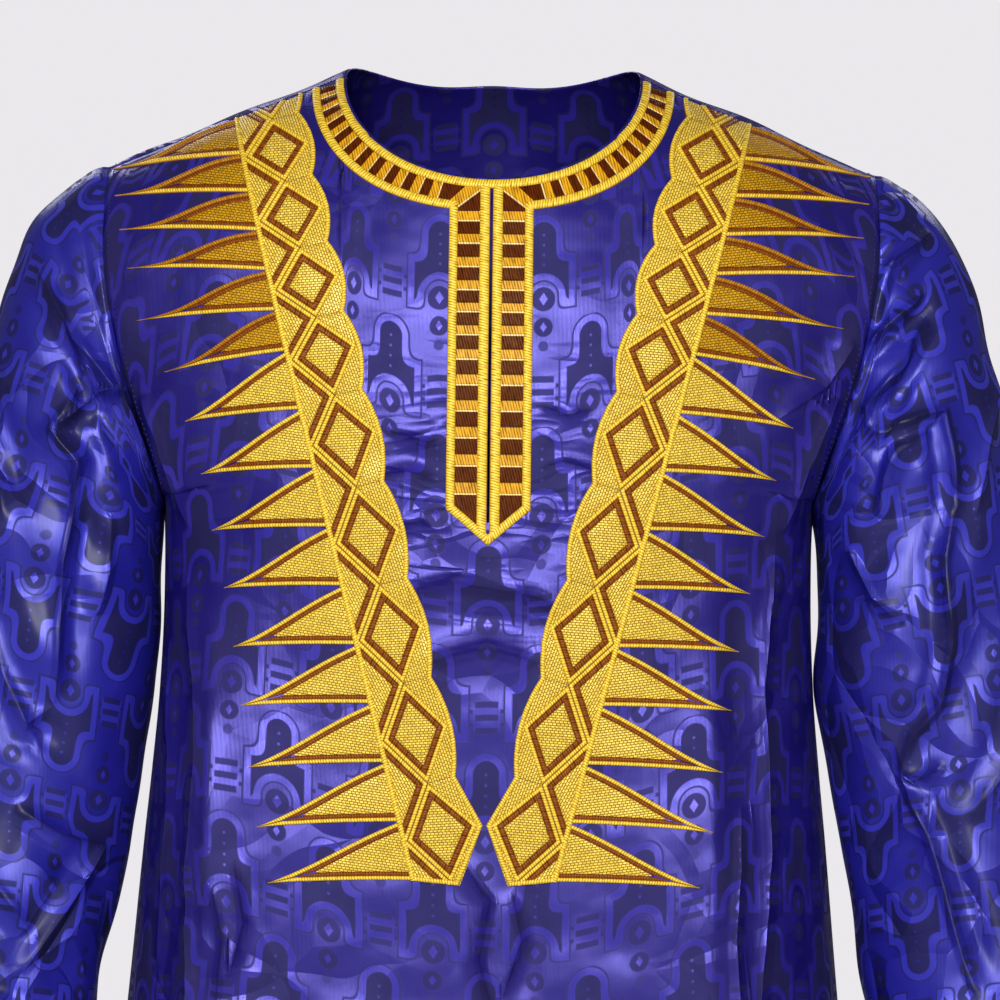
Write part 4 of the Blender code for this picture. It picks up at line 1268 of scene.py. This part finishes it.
# A spike: its two edges run from the line to the tip, each under a gold border with a brown line
# beside it, and both narrow to nothing where the spike does
SPIKE_BORDER = 0.00125
SPIKE_LINE = 0.00140
SPIKE_BORDER_HEIGHT = 0.00190
SPIKE_LINE_HEIGHT = 0.00105
SPIKE_BORDER_LEAST = 0.00022
SPIKE_EDGE_STEPS = 34
SPIKE_HALF_GAP = 0.0002
SPIKE_ROOT = 0.0030
SPIKE_BEND = 0.0008
SMALL_SPIKE_BEND = 0.0021
spike_parts = []
spike_fills = []
for index, tip in enumerate(SPIKE_TIPS):
    small = index < SMALL_SPIKES
    upper_base = (line_x(spike_base_z(index)), spike_base_z(index) - SPIKE_HALF_GAP)
    lower_base = (line_x(spike_base_z(index + 1)), spike_base_z(index + 1) + SPIKE_HALF_GAP)
    edges = []
    for base, bend, waves in ((upper_base, SMALL_SPIKE_BEND if small else SPIKE_BEND, 2.0),
                              (lower_base, SPIKE_BEND, 1.0)):
        root = run_on(tip, base, base[0] - SPIKE_ROOT)
        edge = []
        for step in range(SPIKE_EDGE_STEPS + 1):
            share = step / SPIKE_EDGE_STEPS
            edge.append(Vector((
                root[0] + (tip[0] - root[0]) * share,
                root[1] + (tip[1] - root[1]) * share + bend * math.sin(waves * math.pi * share),
            )))
        edges.append(edge)
    inner = []
    for number, (edge, other) in enumerate(zip(edges, edges[::-1])):
        gold_path = []
        gold_width = []
        brown_path = []
        brown_width = []
        fill_path = []
        for step, place in enumerate(edge):
            ahead = edge[min(step + 1, SPIKE_EDGE_STEPS)] - edge[max(step - 1, 0)]
            inward = Vector((ahead.y, -ahead.x)).normalized() * (-1.0 if number else 1.0)
            half_room = (other[step] - place).length / 2.0
            gold = max(SPIKE_BORDER_LEAST, min(SPIKE_BORDER, half_room / 2.0))
            gold_path.append(place + inward * (gold if half_room > gold else 0.0))
            gold_width.append(gold)
            room = half_room - 2.0 * gold
            if room > 0.0003:
                brown = min(SPIKE_LINE, room / 2.0)
                brown_path.append(place + inward * (2.0 * gold + brown * 0.75))
                brown_width.append(brown)
            if room > 2.1 * SPIKE_LINE:
                fill_path.append(place + inward * (2.0 * gold + 1.7 * SPIKE_LINE))
        trim = BRONZE_SATIN if small and number == 0 else GOLD_SATIN
        spike_parts.append(satin_strip("spike_edge", gold_path, gold_width, SPIKE_BORDER_HEIGHT, trim))
        spike_parts.append(satin_strip("spike_line", brown_path, brown_width, SPIKE_LINE_HEIGHT,
                                       BROWN_SATIN))
        inner.append(fill_path)
    middle = (inner[0][-1] + inner[1][-1]) / 2.0
    reach = (Vector(tip) - middle).normalized() * (inner[0][-1] - inner[1][-1]).length * 1.5
    outline = inner[1] + [middle + reach] + inner[0][::-1]
    fill = OCHRE_FILL if small else GOLD_FILL
    spike_fills.append(([(place.x, place.y) for place in outline], math.radians(8.0), (fill, fill)))
filled = stitched_cells("spike_fills", spike_fills, ((0.00003, 0.00075), (0.0003, 0.00015)))
cut_fine(filled)
thread_cells(filled, spike_fills, (0.00001,))
spike_parts.append(filled)
line_out = (-LINE_DOWN[1], LINE_DOWN[0])
for part in spike_parts:
    clip(part, LINE_TOP, (-line_out[0], -line_out[1]))


def scallop_place(before, after, share, inset=0.0):
    """A place on the scallop between two links of the chain, or that far inside its edge."""
    swell = SCALLOP_CREST - (SCALLOP_CREST - SCALLOP_VALLEY) * (2.0 * share - 1.0) ** 2
    return band_place(before + (after - before) * share, swell - inset)


# One more diamond lies above the first, cut by the shoulder seam
steps = [2.0 * DIAMOND_STEPS[0] - DIAMOND_STEPS[1]] + list(DIAMOND_STEPS)
chain = [(low + high) / 2.0 for low, high in zip(steps, steps[1:])] + [CHAIN_END]
diamond_cells = []
half_cells = []
lobe_cells = []
for index, step in enumerate(steps):
    before = chain[index - 1] if index else 2.0 * step - chain[0]
    after = chain[index]
    crest = LAST_CREST if index == len(steps) - 1 else CREST
    outline = [band_place(before, CHAIN), band_place(step, crest), band_place(after, CHAIN),
               band_place(step, NODE)]
    diamond_cells.append((outline, math.radians(-4.0), (GOLD_SATIN, BROWN_SATIN, GOLD_FILL)))
    following = steps[index + 1] if index + 1 < len(steps) else 2.0 * after - step
    slope = HALF_DIAMOND_PAST / (CHAIN - NODE)
    outline = [band_place(step - (after - step) * slope, NODE - HALF_DIAMOND_PAST), band_place(after, CHAIN),
               band_place(following + (following - after) * slope, NODE - HALF_DIAMOND_PAST)]
    half_cells.append((outline, math.radians(62.0), (GOLD_SATIN, BROWN_SATIN, GOLD_FILL)))
    if index < len(steps) - 1:
        rim = [scallop_place(before, after, share) for share in (0.2, 0.4, 0.5, 0.6, 0.8)]
        rim.append(band_place(after, SCALLOP_VALLEY))
    else:
        rim = [band_place(*BAND_POINT), band_place(*BAND_CORNER)]
    outline = [band_place(before, CHAIN), band_place(before, SCALLOP_VALLEY), *rim, band_place(after, CHAIN),
               band_place(step, crest - LOBE_UNDER)]
    lobe_cells.append((outline, math.radians(70.0), (GOLD_FILL, GOLD_FILL)))
diamonds = stitched_cells("diamonds", diamond_cells, RAISED_EDGE + SUNK_LINE + FILLED)
halves_between = stitched_cells("half_diamonds", half_cells, RAISED_EDGE + SUNK_LINE + FILLED)
lobes = stitched_cells("lobes", lobe_cells, ((0.00005, 0.0005), (0.0004, 0.0002)))
clip(halves_between, LINE_TOP, line_out)
foot_place = band_place(*BAND_CORNER)
foot_line = (foot_place[0] - LINE_FOOT[0], foot_place[1] - LINE_FOOT[1])
foot_size = math.hypot(*foot_line)
foot_out = (-foot_line[1] / foot_size, foot_line[0] / foot_size)
if foot_out[1] > 0.0:
    foot_out = (-foot_out[0], -foot_out[1])
clip(halves_between, LINE_FOOT, foot_out)
band_parts = list(spike_parts)
for part, cells, zones in ((diamonds, diamond_cells, RINGED_ZONES),
                           (halves_between, half_cells, RINGED_ZONES),
                           (lobes, lobe_cells, (0.0001,))):
    cut_fine(part)
    thread_cells(part, cells, zones)
    band_parts.append(part)

SCALLOP_EDGE = 0.0015
SCALLOP_HEIGHT = 0.00195
SCALLOP_INSET = 0.0013
scallops = []
for index in range(len(steps) - 1):
    before = chain[index - 1] if index else 2.0 * steps[0] - chain[0]
    after = chain[index]
    for share in (0.0, 0.1, 0.2, 0.35, 0.5, 0.65, 0.8, 0.9):
        scallops.append(scallop_place(before, after, share, SCALLOP_INSET))
scallops.append(band_place(chain[-2], SCALLOP_VALLEY - SCALLOP_INSET))
scallops.append(band_place(BAND_POINT[0], BAND_POINT[1] - 0.0016))
scallops.append(band_place(BAND_CORNER[0] - 0.0018, BAND_CORNER[1] - 0.0016))
band_parts.append(satin_strip("scallop_edge", scallops, SCALLOP_EDGE, SCALLOP_HEIGHT, GOLD_SATIN))
band_parts.append(satin_strip("foot_edge", [
    (LINE_FOOT[0] + 0.0010, LINE_FOOT[1] + 0.0012),
    (foot_place[0] + 0.0010, foot_place[1] + 0.0016)], SCALLOP_EDGE, SCALLOP_HEIGHT, GOLD_SATIN))
band_parts.append(satin_strip("band_line", [band_place(-0.004, 0.0), LINE_FOOT], 0.0017, 0.0023, GOLD_SATIN))
band_flat = []
for part in band_parts:
    clip_at_seam(part, 1.0)
    twin = part.copy()
    twin.data = part.data.copy()
    bpy.context.scene.collection.objects.link(twin)
    band_flat.append(twin)
for part in band_parts:
    lay_on_cloth(part)
for part in band_flat:
    lay_on_cloth(part, -1.0)
finish_embroidery(band_parts, "band_left", "embroidery_left")
finish_embroidery(band_flat, "band_right", "embroidery_right")

# Neck ring and placket. Two gold borders with blocks of dark brown and ochre between them follow the
# neckline, and turn down beside the slit to a point below it.
BORDER_HALF = 0.1085
BORDER_DROP = 0.0842
BORDER_SQUARENESS = 2.3
PLACKET_HALF = 0.0246
PLACKET_CORNER_Z = -0.2506
PLACKET_TIP_Z = -0.2713
BORDER = 0.0027
BORDER_HEIGHT = 0.00200
SLIT_BORDER = 0.0031
SLIT_BORDER_X = 0.0038
SLIT_BORDER_HEIGHT = 0.00190
BLOCK_IN = 0.0062
BLOCK_OUT = 0.0195
CORNER_IN = (0.0130, -0.0605)
CORNER_OUT = (0.0245, -0.0712)
RING_BLOCK_IN = 0.25
RING_BLOCK_OUT = 0.75
FIRST_RING_STEP = 0.30
WIDEST_RING_GAP = 0.0112
LEAST_RING_GAP = 0.0074
RING_GAP_LOSS = 0.00038
PALE_HALF = 0.0006
PALE_LINES = (-0.0832, -0.0965, -0.1102, -0.1237, -0.1365, -0.1498, -0.1640, -0.1788, -0.1938, -0.2093,
              -0.2254, -0.2416)


def ring_place(x_share, share):
    """A place on the neck ring: across it by its share of the half width, and outwards."""
    inner_x = (NECK_HALF + EDGE) * x_share
    inner_z = NECK_TOP - (NECK_DROP + EDGE) * math.sqrt(max(0.0, 1.0 - x_share * x_share))
    outer_x = BORDER_HALF * x_share
    fall = max(0.0, 1.0 - abs(x_share) ** BORDER_SQUARENESS) ** (1.0 / BORDER_SQUARENESS)
    outer_z = NECK_TOP - BORDER_DROP * fall
    return inner_x + (outer_x - inner_x) * share, inner_z + (outer_z - inner_z) * share


turns = [math.radians(angle) for angle in range(0, 91, 3)]
inner_path = [ring_place(math.cos(turn), 0.138) for turn in turns]
inner_path += [(-x, z) for x, z in reversed(inner_path[:-1])]
outer_half = [ring_place(math.cos(turn), 0.862) for turn in turns]
outer_half = [place for place in outer_half if place[0] > PLACKET_HALF + 0.0005]
corner_z = outer_half[-1][1] - 0.0008
outer_half.append((PLACKET_HALF - BORDER, corner_z))
outer_half.append((PLACKET_HALF - BORDER, PLACKET_CORNER_Z + 0.0014))
outer_path = outer_half + [(0.0, PLACKET_TIP_Z + 0.0034)] + [(-x, z) for x, z in reversed(outer_half)]
neck_parts = [
    satin_strip("neck_inner", inner_path, BORDER, BORDER_HEIGHT, GOLD_SATIN),
    satin_strip("neck_outer", outer_path, BORDER, BORDER_HEIGHT, GOLD_SATIN),
]
for name, x in (("slit_left", SLIT_BORDER_X), ("slit_right", -SLIT_BORDER_X)):
    neck_parts.append(satin_strip(name, [(x, -0.0600), (x, -0.2640)], SLIT_BORDER, SLIT_BORDER_HEIGHT,
                                  GOLD_SATIN))
half_blocks = []


def slit_block(top, foot, finish_index, outer_top=None, outer_foot=None):
    """A block beside the slit. Its outer end may have a height of its own."""
    half_blocks.append(([(BLOCK_IN, top), (BLOCK_IN, foot),
                         (BLOCK_OUT, foot if outer_foot is None else outer_foot),
                         (BLOCK_OUT, top if outer_top is None else outer_top)], finish_index))


slit_block(-0.0655, PALE_LINES[0] + 0.0058, DARK_BLOCK, outer_top=-0.0758)
slit_block(PALE_LINES[0] + 0.0057, PALE_LINES[0] + PALE_HALF, OCHRE_BLOCK)
half_blocks.append(([(BLOCK_IN, -0.0640), (BLOCK_IN, -0.0654), (0.0196, -0.0757), (0.0202, -0.0748)],
                    PALE_LINE))
half_blocks.append(([(BLOCK_IN, -0.0600), (BLOCK_IN, -0.0640), (0.0202, -0.0748), CORNER_OUT, CORNER_IN],
                    OCHRE_BLOCK))
for line, following in zip(PALE_LINES, PALE_LINES[1:]):
    slit_block(line + PALE_HALF, line - PALE_HALF, PALE_LINE)
    middle = line + (following - line) * 0.56
    slit_block(line - PALE_HALF, middle, DARK_BLOCK)
    slit_block(middle, middle - 0.0005, BRONZE_SATIN)
    slit_block(middle - 0.0005, following + PALE_HALF, OCHRE_BLOCK)
slit_block(PALE_LINES[-1] + PALE_HALF, PALE_LINES[-1] - PALE_HALF, PALE_LINE)
slit_block(PALE_LINES[-1] - PALE_HALF, -0.2600, DARK_BLOCK, outer_foot=-0.2500)
ring_steps = [FIRST_RING_STEP]
ring_gap = WIDEST_RING_GAP
while ring_steps[-1] < 0.995:
    here = ring_place(ring_steps[-1], 0.5)
    share = ring_steps[-1]
    while share < 0.9999 and math.dist(here, ring_place(share, 0.5)) < ring_gap:
        share += 0.0005
    ring_steps.append(min(share, 0.9999))
    ring_gap = max(LEAST_RING_GAP, ring_gap - RING_GAP_LOSS)


def ring_block(first, last, finish_index):
    half_blocks.append(([ring_place(first, RING_BLOCK_IN), ring_place(first, RING_BLOCK_OUT),
                         ring_place(last, RING_BLOCK_OUT), ring_place(last, RING_BLOCK_IN)], finish_index))


half_blocks.append(([CORNER_IN, CORNER_OUT, ring_place(FIRST_RING_STEP, RING_BLOCK_OUT),
                     ring_place(FIRST_RING_STEP, RING_BLOCK_IN)], DARK_BLOCK))
for first, last in zip(ring_steps, ring_steps[1:]):
    gap = last - first
    ring_block(first, first + gap * 0.09, PALE_LINE)
    ring_block(first + gap * 0.09, first + gap * 0.53, OCHRE_BLOCK)
    ring_block(first + gap * 0.53, last, DARK_BLOCK)
block_cells = []
for outline, finish_index in half_blocks:
    block_cells.append((outline, 0.0, (finish_index, finish_index)))
    block_cells.append(([(-x, z) for x, z in reversed(outline)], 0.0, (finish_index, finish_index)))
blocks = stitched_cells("blocks", block_cells, ((0.00003, 0.0005), (0.00018, 0.0003)))
cut_fine(blocks)
thread_cells(blocks, block_cells, (0.00001,))
neck_parts.append(blocks)
for part in neck_parts:
    for side in (1.0, -1.0):
        clip_at_seam(part, side)
    lay_on_cloth(part)
finish_embroidery(neck_parts, "neck_and_placket", "neck_placket_embroidery")

# Sewing. A row of small stitches holds each turned edge, at the hem, the cuffs and the back of the
# neck, and dark ones show along the armhole seams. A stitch is a bead of thread half sunk in the cloth.
stitch_thread, stitch_tree, stitch_shader = new_material("blue_thread")
ply = noise(stitch_tree.nodes.new("ShaderNodeTexCoord").outputs["Object"], 900.0, 1.0).outputs["Fac"]
wire(mixed(Sum(ply), (0.006, 0.003, 0.040), (0.016, 0.010, 0.130)), stitch_shader.inputs["Base Color"])
bump_with(ply, stitch_shader, 0.0003)
stitch_shader.inputs["Roughness"].default_value = 0.5

# Length, gap and width of a stitch
HEM_STITCH = (0.0026, 0.0007, 0.0005)
ARMHOLE_STITCH = (0.0018, 0.0016, 0.0010)


def stitch_row(name, lines, length, gap, width):
    """Stitches along lines of places with their outward directions: their length, gap and width."""
    work = bmesh.new()
    for places, outward in lines:
        run = np.concatenate([[0.0], np.cumsum(np.linalg.norm(np.diff(places, axis=0), axis=1))])
        for start in np.arange(gap, run[-1] - length, length + gap):
            first, middle, last = (
                Vector([np.interp(start + length * share, run, places[:, axis]) for axis in range(3)])
                for share in (0.0, 0.5, 1.0)
            )
            along = (last - first).normalized()
            out = Vector([np.interp(start + length / 2.0, run, outward[:, axis]) for axis in range(3)])
            across = out.cross(along).normalized()
            out = along.cross(across)
            turn = Matrix((along * length / 2.0, across * width / 2.0, out * width / 2.0)).transposed()
            bmesh.ops.create_icosphere(work, subdivisions=1, radius=1.0,
                                       matrix=Matrix.Translation(middle) @ turn.to_4x4())
    bpy.ops.object.select_all(action="DESELECT")
    bpy.ops.mesh.primitive_ico_sphere_add(subdivisions=1, radius=0.001)
    piece = bpy.context.object
    piece.name = name
    work.to_mesh(piece.data)
    work.free()
    piece.data.materials.append(stitch_thread)
    bpy.ops.object.shade_smooth()
    bpy.ops.object.transform_apply(location=True, rotation=True, scale=True)
    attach(piece, "root")


def across_at(points, outward, row):
    """One line across a grid of points at a row between two of its rows."""
    low = int(row)
    share = row - low
    return (points[low] * (1.0 - share) + points[low + 1] * share,
            outward[low] * (1.0 - share) + outward[low + 1] * share)


front_out = out_of(front_points)
back_out = -out_of(back_points)
HEM_ROW = len(panel_rows) - 1 - 6.1
CUFF_ROW = SLEEVE_ROWS - 5.4
stitch_row("hem_stitches", [across_at(front_points, front_out, HEM_ROW),
                            across_at(back_points, back_out, HEM_ROW)], *HEM_STITCH)
stitch_row("cuff_stitches", [across_at(*face, CUFF_ROW) for face in sleeve_faces.values()], *HEM_STITCH)
neck_line, neck_out = across_at(back_points, back_out, 1.15)
in_neck = np.abs(neck_line[:, 0]) < NECK_HALF * 0.97
stitch_row("neck_stitches", [(neck_line[in_neck], neck_out[in_neck])], *HEM_STITCH)
armhole_lines = []
for points, outward in ((front_points, front_out), (back_points, back_out)):
    for column in (1, -2):
        armhole_lines.append((points[2:UNDERARM_ROW - 6, column], outward[2:UNDERARM_ROW - 6, column]))
stitch_row("armhole_stitches", armhole_lines, *ARMHOLE_STITCH)

bpy.context.scene.view_settings.view_transform = "Standard"

# Plain pale floor under the hem
bpy.ops.object.select_all(action="DESELECT")
bpy.ops.mesh.primitive_circle_add(vertices=96, radius=1.9, fill_type="NGON", location=(0.0, 0.0, -0.845))
floor = bpy.context.object
floor.name = "studio_floor"
bpy.ops.object.transform_apply(location=True, rotation=True, scale=True)
pale, _, pale_shader = new_material("pale_floor")
pale_shader.inputs["Base Color"].default_value = (0.62, 0.61, 0.63, 1.0)
pale_shader.inputs["Roughness"].default_value = 0.9
floor.data.materials.append(pale)

# The world is a pale wall to the camera and a dim room to the cloth, so that the lamps shape it
world = bpy.data.worlds.new("studio")
world.use_nodes = True
air = world.node_tree.nodes["Background"]
air.inputs["Color"].default_value = (0.83, 0.81, 0.84, 1.0)
seen = world.node_tree.nodes.new("ShaderNodeLightPath").outputs["Is Camera Ray"]
wire(Sum(seen) * 0.87 + 0.13, air.inputs["Strength"])
bpy.context.scene.world = world

# A wide key lamp above and beside the camera, a fill, two side strips, and two behind for the back
for name, place, aim, size, power in (
    ("key", (-0.50, -2.9, 0.75), (0.0, -0.1, -0.25), (0.8, 0.8), 76.0),
    ("fill", (0.7, -2.95, 0.15), (0.0, -0.1, -0.3), (0.5, 0.7), 29.0),
    ("strip_left", (-1.7, -1.3, 0.3), (-0.25, -0.05, -0.35), (0.12, 1.3), 1.6),
    ("strip_right", (1.7, -1.3, 0.3), (0.25, -0.05, -0.35), (0.12, 1.3), 1.6),
    ("back_left", (-1.1, 2.4, 1.4), (0.0, 0.1, -0.4), (0.8, 0.8), 9.0),
    ("back_right", (1.2, 2.3, 1.2), (0.0, 0.1, -0.4), (0.6, 0.8), 5.0),
):
    light = bpy.data.lights.new(name, "AREA")
    light.shape = "RECTANGLE"
    light.size = size[0]
    light.size_y = size[1]
    light.energy = power
    lamp = bpy.data.objects.new(name, light)
    bpy.context.scene.collection.objects.link(lamp)
    lamp.location = place
    lamp.rotation_euler = (Vector(aim) - Vector(place)).to_track_quat("-Z", "Y").to_euler()

# Camera: straight in front, as far off as a long lens needs, rolled as the photograph is
CAMERA_FAR = 2.6
CHEST_Y = -0.125
PICTURE_WIDTH = 0.576
PICTURE_CENTRE = (0.0068, -0.2448)
ROLL = -0.0115
SENSOR_MM = 36.0
camera_data = bpy.data.cameras.new("camera")
camera_data.sensor_width = SENSOR_MM
camera_data.lens = SENSOR_MM * CAMERA_FAR / PICTURE_WIDTH
camera = bpy.data.objects.new("camera", camera_data)
bpy.context.scene.collection.objects.link(camera)
camera.location = (PICTURE_CENTRE[0], CHEST_Y - CAMERA_FAR, PICTURE_CENTRE[1])
camera.rotation_euler = (math.pi / 2.0, ROLL, 0.0)
bpy.context.scene.camera = camera
